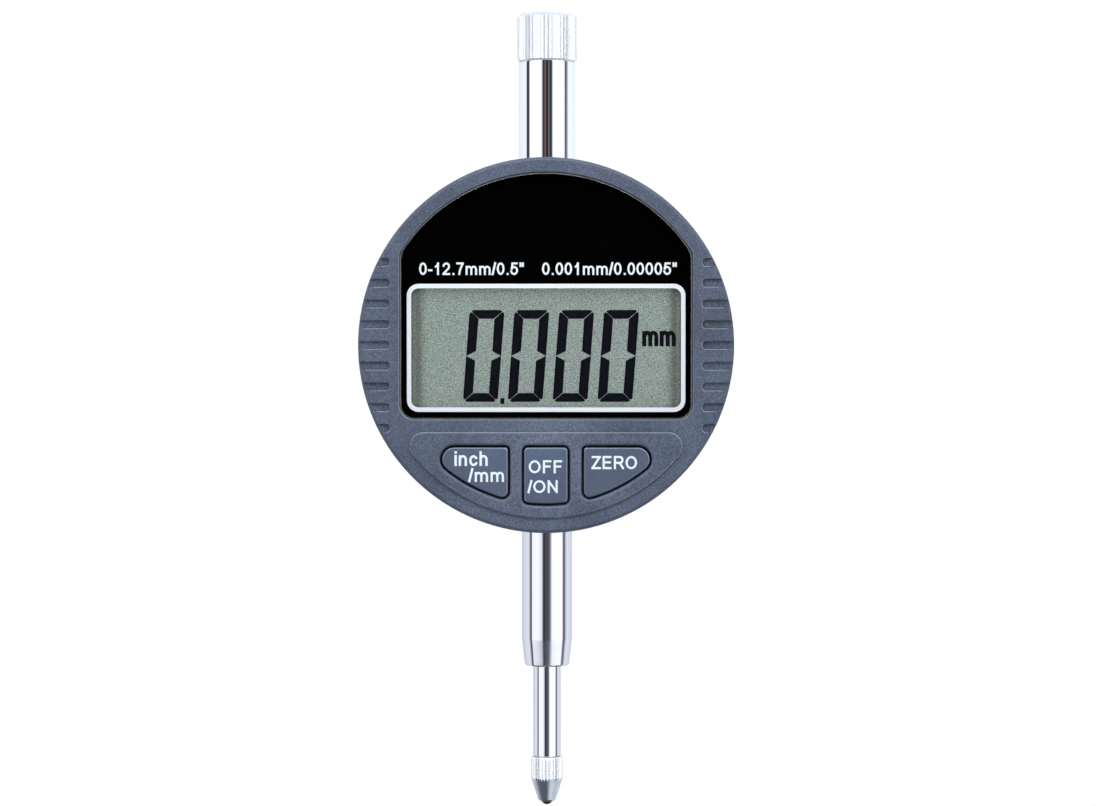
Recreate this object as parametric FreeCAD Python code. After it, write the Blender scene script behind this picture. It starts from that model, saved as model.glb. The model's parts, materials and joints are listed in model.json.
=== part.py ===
"""Digital dial indicator: a round case with a display and three keys, an 8 mm clamping stem,
a sprung spindle with a screwed contact point, an upper tube with a knurled cap, and a lug back.

Frame of the finished part: +Z runs up the spindle axis, the display faces -Y and +X is to the
viewer's right. The origin is on the spindle axis, halfway along the stem's clamping length.
The pieces are drawn about the centre of the case and set into that frame when they are written.
All sizes are in millimetres.
"""
import FreeCAD, Part
import math
import os

# ---------------------------------------------------------------- driving dimensions
# Stem
stem_radius = 4.0
stem_clamp_length = 17.5
stem_taper_length = 4.25
stem_end_radius = 3.55
stem_bore_radius = 3.0
stem_end_chamfer = 0.2
stem_seat_step = 0.2
stem_seat_rise = 0.15

# Case
case_radius = 29.5
face_to_axis = 10.5
axis_to_rear = 8.0
case_wall = 2.2
face_wall = 2.2
case_edge_chamfer = 0.5
neck_depth = 2.3
neck_wall = 2.2

# Grip slots, cut into both sides of the face
slot_count = 9
slot_pitch = 3.25
slot_width = 1.25
slot_depth = 0.5
slot_corner = 0.5
slot_edge_round = 0.1
slot_to_panel = 1.65

# Display window
panel_side_band = 6.65
panel_top_band = 2.5
panel_below_centre = 11.5
panel_thickness = 1.5
panel_low_corner = 2.2
panel_high_corner = 3.6
panel_edge_round = 0.25
panel_sunk = 0.1
recess_high_corner = 1.0
recess_edge_round = 0.08
mask_thickness = 0.1
mask_side_border = 1.75
view_top = 8.9
view_bottom = 9.8
view_corner = 1.1

# Liquid crystal display
glass_thickness = 0.7
glass_side_border = 1.3
glass_end_border = 0.7
glass_ledge = 1.2
film_thickness = 0.2
reflector_thickness = 0.3
zebra_width = 0.9
holder_wall = 0.9

# Keypad
plateau_height = 0.4
plateau_top_below = 13.66
plateau_rim_band = 2.4
plateau_corner = 2.2
plateau_edge_round = 0.14
key_hole_round = 0.5
key_top_below = 16.05
key_rim_band = 4.7
key_sunk = 0.02
key_edge_round = 0.22
key_gap = 0.38
middle_key_half_width = 3.38
middle_key_corner = 0.65
side_key_inner_x = 5.99
side_key_top_corner = 0.46
side_key_low_corner = 0.9
side_key_end_corner = 1.84
key_travel = 0.5
flange_overlap = 0.32
flange_thickness = 0.7
switch_size = 4.5
switch_height = 1.7
switch_wall = 0.4
plunger_radius = 1.15
plunger_reach = 1.3

# Main board
board_thickness = 1.0
board_edge_gap = 2.8
board_to_axis = 4.2
standoff_radius = 1.7
standoff_x = 10.0
board_screw_radius = 0.8
board_screw_length = 4.6
board_screw_head_radius = 1.5
board_screw_head_height = 1.0
chip_size = 7.0
chip_height = 1.1
crystal_length = 6.0
crystal_radius = 1.0

# Spindle and its contact point
spindle_radius = 2.2
spindle_travel = 13.0
spindle_showing = 14.69
contact_radius = 2.52
contact_collar = 3.41
contact_chamfer = 0.3
contact_length = 7.76
contact_nose_radius = 1.33
contact_nose_round = 0.35
contact_flutes = 33
contact_flute_depth = 0.13
contact_flute_run_out = 0.6
flute_flank_angle = 35
ball_radius = 1.0
ball_showing = 0.62
thread_radius = 1.25
thread_length = 5.0

# Bearings, guide and spring
bush_length = 7.0
bush_flange_radius = 4.2
bush_flange_thickness = 0.8
bush_set_back = 0.5
stop_ring_radius = 3.6
stop_ring_thickness = 1.0
stop_gap = 0.2
slider_half_width = 6.0
slider_length = 13.8
slider_rear = 3.3
grid_board_thickness = 0.7
grid_board_length = 20.0
grid_board_half_width = 7.0
grid_gap = 0.15
clamp_screw_radius = 1.25
guide_rod_radius = 1.0
guide_rod_offset = 3.0
guide_rod_length = 47.0
guide_eye_wall = 1.0
guide_eye_length = 5.0
saddle_half_width = 2.2
saddle_length = 2.6
spring_wire_radius = 0.2
spring_coil_radius = 2.85
spring_turns = 13

# Upper tube and cap
tube_radius = 4.5
tube_bore_radius = 3.3
tube_showing = 15.65
tube_thread_radius = 4.15
tube_thread_length = 4.5
cap_radius = 4.73
cap_length = 8.0
cap_top = 1.0
cap_flutes = 52
cap_flute_depth = 0.13
cap_crown = 0.42
cap_top_chamfer = 0.5
cap_low_chamfer = 0.3

# Battery and its door
cell_radius = 5.8
cell_height = 5.4
cell_edge_round = 0.4
cell_gap = 0.15
cell_wall = 1.05
cell_to_wall = 2.5
cell_floor = 0.6
cell_spring_height = 0.6
cell_tail_radius = 0.4
contact_sheet = 0.2
strip_width = 3.0
strip_thickness = 0.3
door_radius = 7.0
door_thickness = 1.8
door_tab_reach = 1.0
door_tab_thickness = 0.6
door_tab_half_angle = 12.0
door_tab_play = 2.0
door_turn = 40.0
door_slot_width = 1.6
door_slot_depth = 0.8
door_slot_length = 10.0

# Back cover and lug
cover_thickness = 2.0
cover_step = 0.2
cover_edge_round = 0.8
cover_lip_depth = 1.2
cover_lip_wall = 0.7
boss_radius = 2.6
cover_screw_radius = 1.0
cover_screw_length = 8.0
cover_screw_head_radius = 1.9
cover_screw_head_height = 1.1
cover_screw_sunk = 0.1
cross_reach = 0.6
cross_width = 0.14
cross_depth = 0.35
lug_half_thickness = 2.5
lug_hole_radius = 3.25
lug_hole_to_cover = 7.5
lug_end_radius = 6.0
lug_root_round = 1.2
lug_edge_round = 0.5

# Clearances
press_gap = 0.01
running_gap = 0.03
thread_gap = 0.02
sliding_gap = 0.1
rigid_gap = 0.3
panel_gap = 0.18

# Small finishing sizes
turned_chamfer = 0.2
cutter_past = 1.0
joint_overlap = 0.5
tiny = 1e-4

# ---------------------------------------------------------------- places worked out from them
RIGHT = FreeCAD.Vector(1, 0, 0)
BACK = FreeCAD.Vector(0, 1, 0)
UP = FreeCAD.Vector(0, 0, 1)

# Depths, from the front to the back
face_y = -face_to_axis
recess_y = face_y + panel_sunk + panel_thickness + mask_thickness
inside_y = face_y + face_wall
board_rear_y = -board_to_axis
board_y = board_rear_y - board_thickness
rear_y = axis_to_rear
cover_y = rear_y + cover_thickness
screw_seat_y = cover_y - cover_screw_sunk - cover_screw_head_height
lug_hole_y = cover_y + lug_hole_to_cover
plateau_y = face_y - plateau_height
key_y = plateau_y + key_sunk
flange_y = inside_y + sliding_gap
flange_rear_y = flange_y + flange_thickness
switch_y = board_y - switch_height

# Heights, from the centre of the case
stem_shoulder_z = -(case_radius + stem_clamp_length)
stem_end_z = stem_shoulder_z - stem_taper_length
stem_seat_radius = stem_radius - stem_seat_step
stem_seat_z = -case_radius + stem_seat_rise
contact_top_z = stem_end_z - spindle_showing
cap_low_z = case_radius + tube_showing
cap_top_z = cap_low_z + cap_length
spindle_top_z = cap_top_z - cap_top - spindle_travel - sliding_gap * 10

# Rounds inside the case
inside_radius = case_radius - case_wall
board_radius = inside_radius - board_edge_gap
neck_z = inside_radius - neck_depth
boss_inset = cover_lip_wall + press_gap + 2 * rigid_gap
boss_circle = inside_radius - boss_radius - boss_inset
boss_angles = (45, 135, 225, 315)
boss_places = [
    (boss_circle * math.cos(math.radians(angle)), boss_circle * math.sin(math.radians(angle)))
    for angle in boss_angles
]

# Display
panel_half_width = case_radius - panel_side_band
view_half_width = panel_half_width - mask_side_border
glass_half_width = view_half_width + glass_side_border
glass_top = view_top + glass_end_border
glass_bottom = view_bottom + glass_end_border
film_y = inside_y
front_glass_y = film_y + film_thickness
rear_glass_y = front_glass_y + glass_thickness
reflector_y = rear_glass_y + glass_thickness
pad_y = reflector_y + reflector_thickness
holder_half_width = glass_half_width + holder_wall
holder_top = glass_top + holder_wall
holder_bottom = glass_bottom + holder_wall
standoff_places = [
    (side * standoff_x, z)
    for side in (-1, 1)
    for z in (holder_top + rigid_gap + standoff_radius, -holder_bottom - rigid_gap - standoff_radius)
]

# Keypad
key_arc_radius = case_radius - key_rim_band
middle_key_low = math.sqrt(key_arc_radius**2 - middle_key_half_width**2)
side_key_low = math.sqrt(key_arc_radius**2 - side_key_inner_x**2)
middle_switch = (0, -(key_top_below + middle_key_low) / 2)
side_switch = (
    side_key_inner_x + switch_size / 2 + 2 * rigid_gap + key_gap,
    -(2 * key_top_below + side_key_low) / 3,
)
switch_places = {
    "unit": (-side_switch[0], side_switch[1]),
    "power": middle_switch,
    "zero": side_switch,
}

# Slider, guide and spring
stop_ring_z = -neck_z
slider_z = stop_ring_z + stop_ring_thickness + stop_gap
slider_top_z = slider_z + slider_length
grid_board_y = board_rear_y + grid_gap
slider_y = grid_board_y + grid_board_thickness
guide_x = slider_half_width + guide_rod_offset
guide_eye_z = slider_z + slider_length / 2 - guide_eye_length / 2
spring_top_z = neck_z - bush_flange_thickness

# Battery
cell_bore = cell_radius + cell_gap
cell_outer = cell_bore + cell_wall
cell_x = -(inside_radius - cell_to_wall - cell_outer)
cell_rear_y = rear_y - sliding_gap
cell_y = cell_rear_y - cell_height
cell_floor_y = cell_y - cell_spring_height - cell_floor


# ---------------------------------------------------------------- simple shapes
def point(x, y, z):
    return FreeCAD.Vector(x, y, z)


def block(x0, x1, y0, y1, z0, z1):
    """A box between two corners."""
    return Part.makeBox(x1 - x0, y1 - y0, z1 - z0, point(x0, y0, z0))


def along_x(radius, x0, x1, y, z):
    """A cylinder from left to right."""
    return Part.makeCylinder(radius, x1 - x0, point(x0, y, z), RIGHT)


def along_y(radius, y0, y1, x=0, z=0):
    """A cylinder from front to back."""
    return Part.makeCylinder(radius, y1 - y0, point(x, y0, z), BACK)


def along_z(radius, z0, z1, x=0, y=0):
    """A cylinder standing upright."""
    return Part.makeCylinder(radius, z1 - z0, point(x, y, z0), UP)


def turned(profile):
    """A solid turned about the spindle axis from corners given as (radius, height)."""
    corners = [point(radius, 0, z) for radius, z in profile]
    face = Part.Face(Part.makePolygon(corners + corners[:1]))
    return face.revolve(point(0, 0, 0), UP, 360)


def straight_edges(shape, direction):
    """The straight edges of a shape that run along a direction."""
    found = []
    for edge in shape.Edges:
        ends = [vertex.Point for vertex in edge.Vertexes]
        if len(ends) == 2 and isinstance(edge.Curve, Part.Line):
            run = (ends[1] - ends[0]).normalize()
            if run.cross(direction).Length < tiny:
                found.append(edge)
    return found


def edges_in_plane_y(shape, y):
    """The edges of a shape that lie in the upright plane at depth y."""
    return [e for e in shape.Edges if e.BoundBox.YLength < tiny and abs(e.CenterOfMass.y - y) < tiny]


def bend_at(shape, edge):
    """The size of the turn between the two faces that meet at an edge; 0 where they run on smoothly."""
    normals = []
    for face in shape.ancestorsOfType(edge, Part.Face):
        u, v = face.Surface.parameter(edge.CenterOfMass)
        normals.append(face.normalAt(u, v))
    return normals[0].cross(normals[-1]).Length


def corner_edges(prism):
    """The front-to-back edges where two faces of a prism meet at an angle."""
    return [e for e in straight_edges(prism, BACK) if bend_at(prism, e) > 0.01]


def round_corners(prism, radius_at):
    """Rounds the front-to-back edges of a prism; radius_at(x, z) gives the radius of a corner."""
    places = [(e.CenterOfMass.x, e.CenterOfMass.z) for e in corner_edges(prism)]
    for x, z in places:

        def distance(edge):
            return math.hypot(edge.CenterOfMass.x - x, edge.CenterOfMass.z - z)

        prism = prism.makeFillet(radius_at(x, z), [min(corner_edges(prism), key=distance)])
    return prism


def fluted(body, radius, depth, count, z0, z1):
    """Cuts straight V flutes along the spindle axis into a round body."""
    spread = 2 * depth / math.tan(math.radians(flute_flank_angle))
    corners = [
        point(radius - depth, 0, z0),
        point(radius + depth, -spread, z0),
        point(radius + depth, spread, z0),
    ]
    flute = Part.Face(Part.makePolygon(corners + corners[:1])).extrude(UP * (z1 - z0))
    cutters = []
    for index in range(count):
        cutter = flute.copy()
        cutter.rotate(point(0, 0, 0), UP, index * 360 / count)
        cutters.append(cutter)
    return body.cut(Part.makeCompound(cutters))


# ---------------------------------------------------------------- outlines of the face
def disc_part(radius, y0, y1, x0, x1, z0, z1):
    """The part of a disc about the case's centre that lies in an upright frame."""
    return along_y(radius, y0, y1).common(block(x0, x1, y0, y1, z0, z1)).Solids[0]


def panel_prism(y0, y1, grow, high_corner):
    """The display window's outline: straight sides and foot, with a top that follows the case."""
    radius = case_radius - panel_top_band + grow
    half = panel_half_width + grow
    low = panel_below_centre + grow
    prism = disc_part(radius, y0, y1, -half, half, -low, radius + cutter_past)

    def radius_at(x, z):
        return panel_low_corner + grow if z < 0 else high_corner

    return round_corners(prism, radius_at)


def view_prism(y0, y1, grow):
    """The clear opening in front of the display."""
    half = view_half_width + grow
    prism = block(-half, half, y0, y1, -view_bottom - grow, view_top + grow)
    return round_corners(prism, lambda x, z: view_corner + grow)


def plateau_prism(y0, y1):
    """The raised keypad field, a segment of a disc."""
    radius = case_radius - plateau_rim_band
    beyond = radius + cutter_past
    prism = disc_part(radius, y0, y1, -beyond, beyond, -beyond, -plateau_top_below)
    return round_corners(prism, lambda x, z: plateau_corner)


def middle_key_prism(y0, y1, grow):
    """The middle key's outline."""
    half = middle_key_half_width + grow
    radius = key_arc_radius + grow
    prism = disc_part(radius, y0, y1, -half, half, -radius - cutter_past, grow - key_top_below)
    return round_corners(prism, lambda x, z: middle_key_corner + grow)


def side_key_prism(y0, y1, grow, side):
    """The outline of the left (-1) or right (1) key."""
    radius = key_arc_radius + grow
    beyond = radius + cutter_past
    prism = disc_part(radius, y0, y1, side_key_inner_x - grow, beyond, -beyond, grow - key_top_below)

    def radius_at(x, z):
        if x > 2 * side_key_inner_x:
            return side_key_end_corner + grow
        near_top = z > side_switch[1]
        return (side_key_top_corner if near_top else side_key_low_corner) + grow

    prism = round_corners(prism, radius_at)
    return prism if side > 0 else prism.mirror(point(0, 0, 0), RIGHT)


def key_prism(name, y0, y1, grow):
    if name == "power":
        return middle_key_prism(y0, y1, grow)
    return side_key_prism(y0, y1, grow, -1 if name == "unit" else 1)


# ---------------------------------------------------------------- case
def grip_slots():
    """Nine slots down each side of the face, open to the rim."""
    inner = panel_half_width + slot_to_panel
    cutters = []
    for row in range(slot_count):
        z = (row - (slot_count - 1) / 2) * slot_pitch
        cutter = block(
            inner,
            case_radius + cutter_past,
            face_y - cutter_past,
            face_y + slot_depth,
            z - slot_width / 2,
            z + slot_width / 2,
        )
        inner_edges = [e for e in straight_edges(cutter, BACK) if e.CenterOfMass.x < case_radius]
        cutter = cutter.makeFillet(slot_corner, inner_edges)
        cutters.append(cutter)
        cutters.append(cutter.mirror(point(0, 0, 0), RIGHT))
    return cutters


def cover_bosses():
    """Screw bosses for the back cover, behind the board, each carried by a web from the rim."""
    front = board_rear_y + rigid_gap
    web_rear = rear_y - cover_lip_depth - rigid_gap
    half = 0.6 * boss_radius
    parts = []
    for angle in boss_angles:
        web = block(boss_circle, inside_radius + case_wall / 2, front, web_rear, -half, half)
        boss = along_y(boss_radius, front, rear_y, boss_circle, 0).fuse(web)
        boss.rotate(point(0, 0, 0), BACK, -angle)
        parts.append(boss)
    return parts


def guide_saddles():
    """Blocks inside the rim, above and below, that hold the guide rod's ends."""
    limit = along_y(case_radius - case_wall / 2, -saddle_half_width, saddle_half_width)
    reach = guide_rod_length / 2 - saddle_length
    saddles = []
    for side in (-1, 1):
        low, high = sorted((side * reach, side * case_radius))
        saddles.append(
            block(
                guide_x - saddle_half_width,
                guide_x + saddle_half_width,
                -saddle_half_width,
                saddle_half_width,
                low,
                high,
            ).common(limit)
        )
    return saddles


def front_case():
    shell = along_y(case_radius, face_y, rear_y)
    shell = shell.makeChamfer(case_edge_chamfer, edges_in_plane_y(shell, face_y))
    shell = shell.cut(along_y(inside_radius, inside_y, rear_y + cutter_past))
    shell = shell.cut(panel_prism(face_y - cutter_past, recess_y, panel_gap, recess_high_corner))
    flat_radius = case_radius - case_edge_chamfer
    window_edges = [e for e in edges_in_plane_y(shell, face_y) if e.BoundBox.XMax < flat_radius - tiny]
    shell = shell.makeFillet(recess_edge_round, window_edges)
    shell = shell.cut(grip_slots())
    slot_x = panel_half_width + slot_to_panel - tiny
    face_lines = [e for e in edges_in_plane_y(shell, face_y) if isinstance(e.Curve, Part.Line)]
    slot_lines = [e for e in face_lines if abs(e.CenterOfMass.x) > slot_x]
    shell = shell.makeFillet(slot_edge_round, slot_lines)

    keypad = plateau_prism(plateau_y, face_y + slot_depth)
    front, rear = plateau_y - cutter_past, inside_y + cutter_past
    holes = [key_prism(name, front, rear, key_gap) for name in switch_places]
    keypad = keypad.makeFillet(plateau_edge_round, edges_in_plane_y(keypad, plateau_y))
    shell = shell.fuse(keypad)
    outer_places = [e.CenterOfMass for e in edges_in_plane_y(shell, plateau_y)]
    shell = shell.cut(holes).removeSplitter()
    hole_edges = [
        e
        for e in edges_in_plane_y(shell, plateau_y)
        if min(e.CenterOfMass.distanceToPoint(place) for place in outer_places) > tiny
    ]
    shell = shell.makeFillet(key_hole_round, hole_edges)

    necks = [
        along_z(stem_radius + neck_wall, -case_radius + case_wall / 2, -neck_z),
        along_z(tube_radius + neck_wall, neck_z, case_radius - case_wall / 2),
    ]
    root_y = inside_y - joint_overlap
    standoffs = [along_y(standoff_radius, root_y, board_y, x, z) for x, z in standoff_places]
    shell = shell.multiFuse(necks + standoffs + cover_bosses() + guide_saddles())

    cuts = [
        view_prism(recess_y - cutter_past, inside_y + cutter_past, panel_gap),
        along_z(stem_seat_radius + press_gap, -case_radius - cutter_past, 0),
        along_z(stem_radius + press_gap, -case_radius - cutter_past, stem_seat_z + press_gap),
        along_z(tube_radius + press_gap, 0, case_radius + cutter_past),
        along_z(guide_rod_radius + press_gap, -guide_rod_length / 2, guide_rod_length / 2, guide_x),
        block(
            guide_x - guide_rod_radius - press_gap,
            guide_x + guide_rod_radius + press_gap,
            0,
            saddle_half_width + cutter_past,
            -guide_rod_length / 2,
            guide_rod_length / 2,
        ),
    ]
    for x, z in boss_places:
        hole = cover_screw_radius + thread_gap
        cuts.append(along_y(hole, screw_seat_y - cover_screw_length, rear_y + cutter_past, x, z))
    for x, z in standoff_places:
        hole = board_screw_radius + thread_gap
        cuts.append(along_y(hole, board_rear_y - board_screw_length, board_y + cutter_past, x, z))
    return shell.cut(cuts).removeSplitter()


# ---------------------------------------------------------------- display window and display
def window_panel():
    panel = panel_prism(face_y + panel_sunk, recess_y - mask_thickness, 0, panel_high_corner)
    return panel.makeFillet(panel_edge_round, edges_in_plane_y(panel, face_y + panel_sunk))


def printed_mask():
    mask = panel_prism(recess_y - mask_thickness, recess_y, 0, panel_high_corner)
    return mask.cut(view_prism(recess_y - cutter_past, recess_y + cutter_past, 0))


def display_sheet(y, thickness, side_inset=0, end_inset=0):
    """One flat layer of the display."""
    half = glass_half_width - side_inset
    return block(-half, half, y, y + thickness, -glass_bottom + end_inset, glass_top - end_inset)


def lcd_holder():
    """A frame around the display, pinched between the face and the main board."""
    outer = block(-holder_half_width, holder_half_width, inside_y, board_y, -holder_bottom, holder_top)
    depth = board_y - inside_y + 2 * cutter_past
    inner = display_sheet(inside_y - cutter_past, depth, -press_gap, -press_gap)
    return outer.cut(inner)


def zebra_strips():
    """Rubber connectors between the display's contact ledges and the board."""
    half = glass_half_width - glass_side_border
    y = rear_glass_y
    edge = (glass_ledge - zebra_width) / 2
    return [
        block(-half, half, y, board_y, glass_top - edge - zebra_width, glass_top - edge),
        block(-half, half, y, board_y, -glass_bottom + edge, -glass_bottom + edge + zebra_width),
    ]


# ---------------------------------------------------------------- keys
def key_cap(name):
    """A key's cap with the flange behind the face that keeps it in."""
    cap = key_prism(name, key_y, flange_rear_y, 0)
    cap = cap.makeFillet(key_edge_round, edges_in_plane_y(cap, key_y))
    return cap.fuse(key_prism(name, flange_y, flange_rear_y, key_gap + flange_overlap)).removeSplitter()


def key_plunger(name):
    x, z = switch_places[name]
    return along_y(plunger_radius, flange_rear_y, flange_rear_y + plunger_reach, x, z)


def tact_switches():
    """The three switch housings on the board, each with a bore for its plunger."""
    bore_y = flange_rear_y + plunger_reach + key_travel + sliding_gap
    housings = []
    for x, z in switch_places.values():
        half = switch_size / 2
        housing = block(x - half, x + half, switch_y, board_y, z - half, z + half)
        housing = housing.makeFillet(switch_wall, straight_edges(housing, BACK))
        bore = along_y(plunger_radius + sliding_gap, switch_y - cutter_past, bore_y, x, z)
        housings.append(housing.cut(bore))
    return housings


# ---------------------------------------------------------------- board
def main_board():
    board = along_y(board_radius, board_y, board_rear_y)
    hole = board_screw_radius + sliding_gap
    front, rear = board_y - cutter_past, board_rear_y + cutter_past
    return board.cut([along_y(hole, front, rear, x, z) for x, z in standoff_places])


def board_screws():
    sizes = board_screw_radius, board_screw_length, board_screw_head_radius, board_screw_head_height
    return [pan_screw(x, z, board_rear_y, *sizes) for x, z in standoff_places]


def pan_screw(x, z, seat_y, shank_radius, length, head_radius, head_height):
    """A pan-head screw driven in from behind, with a cross recess; its head sits on the plane seat_y."""
    top_y = seat_y + head_height
    head = along_y(head_radius, seat_y, top_y, x, z)
    head = head.makeFillet(head_height / 3, edges_in_plane_y(head, top_y))
    shank = along_y(shank_radius, seat_y - length + rigid_gap, seat_y, x, z)
    reach = cross_reach * head_radius
    slot = cross_width * head_radius
    depth = cross_depth * head_radius
    bars = [
        block(x - reach, x + reach, top_y - depth, top_y + cutter_past, z - slot, z + slot),
        block(x - slot, x + slot, top_y - depth, top_y + cutter_past, z - reach, z + reach),
    ]
    return head.fuse(shank).cut(bars)


def controller_chip():
    left = guide_x + guide_rod_radius
    rear = board_rear_y + chip_height
    chip = block(left, left + chip_size, board_rear_y, rear, 0, chip_size)
    return chip.makeFillet(chip_height / 4, edges_in_plane_y(chip, rear))


def crystal_can():
    """The clock crystal, a small drawn can lying on the board."""
    left = guide_x + guide_rod_radius
    y = board_rear_y + crystal_radius
    can = along_x(crystal_radius, left, left + crystal_length, y, -3 * crystal_radius)
    return can.makeFillet(crystal_radius / 3, [e for e in can.Edges if isinstance(e.Curve, Part.Circle)])


# ---------------------------------------------------------------- stem, tube and cap
def stem():
    """The ground clamping stem; inside the case it steps down to the seat that is pressed in."""
    return turned(
        [
            (stem_bore_radius, stem_end_z),
            (stem_end_radius - stem_end_chamfer, stem_end_z),
            (stem_end_radius, stem_end_z + stem_end_chamfer),
            (stem_radius, stem_shoulder_z),
            (stem_radius, stem_seat_z),
            (stem_seat_radius, stem_seat_z),
            (stem_seat_radius, -neck_z),
            (stem_bore_radius, -neck_z),
        ]
    )


def top_tube():
    return turned(
        [
            (tube_bore_radius, neck_z),
            (tube_radius, neck_z),
            (tube_radius, cap_low_z - sliding_gap),
            (tube_thread_radius, cap_low_z - sliding_gap),
            (tube_thread_radius, cap_low_z + tube_thread_length),
            (tube_bore_radius, cap_low_z + tube_thread_length),
        ]
    )


def top_cap():
    bore = tube_thread_radius + running_gap
    body = turned(
        [
            (bore, cap_low_z),
            (cap_radius - cap_low_chamfer, cap_low_z),
            (cap_radius, cap_low_z + cap_low_chamfer),
            (cap_radius, cap_top_z - cap_crown - cap_top_chamfer),
            (cap_radius - cap_top_chamfer, cap_top_z - cap_crown),
            (0, cap_top_z),
            (0, cap_top_z - cap_top),
            (bore, cap_top_z - cap_top),
        ]
    )
    low, top = cap_low_z - cutter_past, cap_top_z + cutter_past
    return fluted(body, cap_radius, cap_flute_depth, cap_flutes, low, top)


# ---------------------------------------------------------------- spindle and contact point
def spindle():
    body = turned(
        [
            (0, contact_top_z),
            (spindle_radius - turned_chamfer, contact_top_z),
            (spindle_radius, contact_top_z + turned_chamfer),
            (spindle_radius, spindle_top_z - turned_chamfer),
            (spindle_radius - turned_chamfer, spindle_top_z),
            (0, spindle_top_z),
        ]
    )
    hole_top = contact_top_z + thread_length + rigid_gap
    return body.cut(along_z(thread_radius + running_gap, contact_top_z - cutter_past, hole_top))


def contact_point():
    collar_z = contact_top_z - contact_collar
    ball_z = contact_top_z - contact_length + ball_radius
    nose_z = contact_top_z - contact_length + ball_showing
    body = turned(
        [
            (0, contact_top_z),
            (contact_radius - contact_chamfer / 2, contact_top_z),
            (contact_radius, contact_top_z - contact_chamfer),
            (contact_radius, collar_z),
            (contact_nose_radius, nose_z),
            (0, nose_z),
        ]
    )
    nose_edges = [e for e in body.Edges if e.BoundBox.ZMax < nose_z + tiny and e.BoundBox.ZLength < tiny]
    body = body.makeFillet(contact_nose_round, [e for e in nose_edges if isinstance(e.Curve, Part.Circle)])
    flutes_low = collar_z - contact_flute_run_out
    flutes_top = contact_top_z + cutter_past
    body = fluted(body, contact_radius, contact_flute_depth, contact_flutes, flutes_low, flutes_top)
    body = body.fuse(along_z(thread_radius, contact_top_z, contact_top_z + thread_length))
    return body.cut(Part.makeSphere(ball_radius + press_gap, point(0, 0, ball_z)))


def contact_ball():
    return Part.makeSphere(ball_radius, point(0, 0, contact_top_z - contact_length + ball_radius))


# ---------------------------------------------------------------- bearings, slider, guide, spring
def lower_bush():
    low = stem_end_z + bush_set_back
    return turned(
        [
            (spindle_radius + running_gap, low),
            (stem_bore_radius - press_gap, low),
            (stem_bore_radius - press_gap, low + bush_length),
            (spindle_radius + running_gap, low + bush_length),
        ]
    )


def upper_bush():
    bore = spindle_radius + running_gap
    return turned(
        [
            (bore, spring_top_z),
            (bush_flange_radius, spring_top_z),
            (bush_flange_radius, neck_z),
            (tube_bore_radius - press_gap, neck_z),
            (tube_bore_radius - press_gap, neck_z + bush_length),
            (bore, neck_z + bush_length),
        ]
    )


def stop_ring():
    top = stop_ring_z + stop_ring_thickness
    ring = along_z(stop_ring_radius, stop_ring_z, top)
    return ring.cut(along_z(spindle_radius + rigid_gap, stop_ring_z - cutter_past, top + cutter_past))


def slider_block():
    """The carrier clamped on the spindle, with an open eye that runs on the guide rod."""
    body = block(-slider_half_width, slider_half_width, slider_y, slider_rear, slider_z, slider_top_z)
    body = body.makeFillet(slot_corner, straight_edges(body, UP))
    eye_radius = guide_rod_radius + running_gap + guide_eye_wall
    eye_top = guide_eye_z + guide_eye_length
    arm = block(slider_half_width - joint_overlap, guide_x, -eye_radius, eye_radius, guide_eye_z, eye_top)
    eye = along_z(eye_radius, guide_eye_z, eye_top, guide_x)
    rod_way = guide_rod_radius + running_gap
    body = body.fuse([arm, eye])
    low, top = slider_z - cutter_past, slider_top_z + cutter_past
    return body.cut(
        [
            along_z(spindle_radius + press_gap, low, top),
            along_z(rod_way, low, top, guide_x),
            block(guide_x, guide_x + 2 * eye_radius, -rod_way, rod_way, low, top),
            along_x(
                clamp_screw_radius + thread_gap,
                -slider_half_width - cutter_past,
                -spindle_radius,
                0,
                slider_z + slider_length / 2,
            ),
        ]
    )


def clamp_screw():
    """The grub screw that locks the slider to the spindle."""
    z = slider_z + slider_length / 2
    start = -slider_half_width + turned_chamfer
    screw = along_x(clamp_screw_radius, start, -spindle_radius - press_gap, 0, z)
    return screw.cut(along_x(clamp_screw_radius / 2, start - cutter_past, start + clamp_screw_radius, 0, z))


def moving_grid():
    half = grid_board_half_width
    z = slider_z + sliding_gap
    return block(-half, half, grid_board_y, slider_y, z, z + grid_board_length)


def guide_rod():
    half = guide_rod_length / 2 - sliding_gap
    rod = along_z(guide_rod_radius, -half, half, guide_x)
    return rod.makeChamfer(turned_chamfer, [e for e in rod.Edges if isinstance(e.Curve, Part.Circle)])


def return_spring():
    """The coil spring that drives the spindle out, between the slider and the upper bush."""
    low = slider_top_z + spring_wire_radius + sliding_gap
    height = spring_top_z - low - spring_wire_radius - sliding_gap
    path = Part.makeHelix(height / spring_turns, height, spring_coil_radius)
    path.translate(point(0, 0, low))
    start = point(spring_coil_radius, 0, low)
    section = Part.Wire(Part.makeCircle(spring_wire_radius, start, BACK))
    return Part.Wire(path.Edges).makePipeShell([section], True, True)


# ---------------------------------------------------------------- battery
def battery_holder():
    """A round cup between the board and the back cover, with a floor under the cell."""
    cup = along_y(cell_outer, board_rear_y, rear_y, cell_x)
    front, rear = board_rear_y - cutter_past, rear_y + cutter_past
    cup = cup.cut(along_y(cell_bore, cell_floor_y + cell_floor, rear, cell_x))
    cup = cup.cut(along_y(cell_bore, front, cell_floor_y, cell_x))
    groove = cell_radius + strip_thickness + 2 * press_gap
    half = strip_width / 2 + press_gap
    strip_way = block(cell_x - half, cell_x + half, front, rear, cell_bore - cutter_past, groove)
    pin_way = along_y(cell_tail_radius + press_gap, board_rear_y, cell_y, cell_x)
    return cup.cut([strip_way, pin_way])


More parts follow.
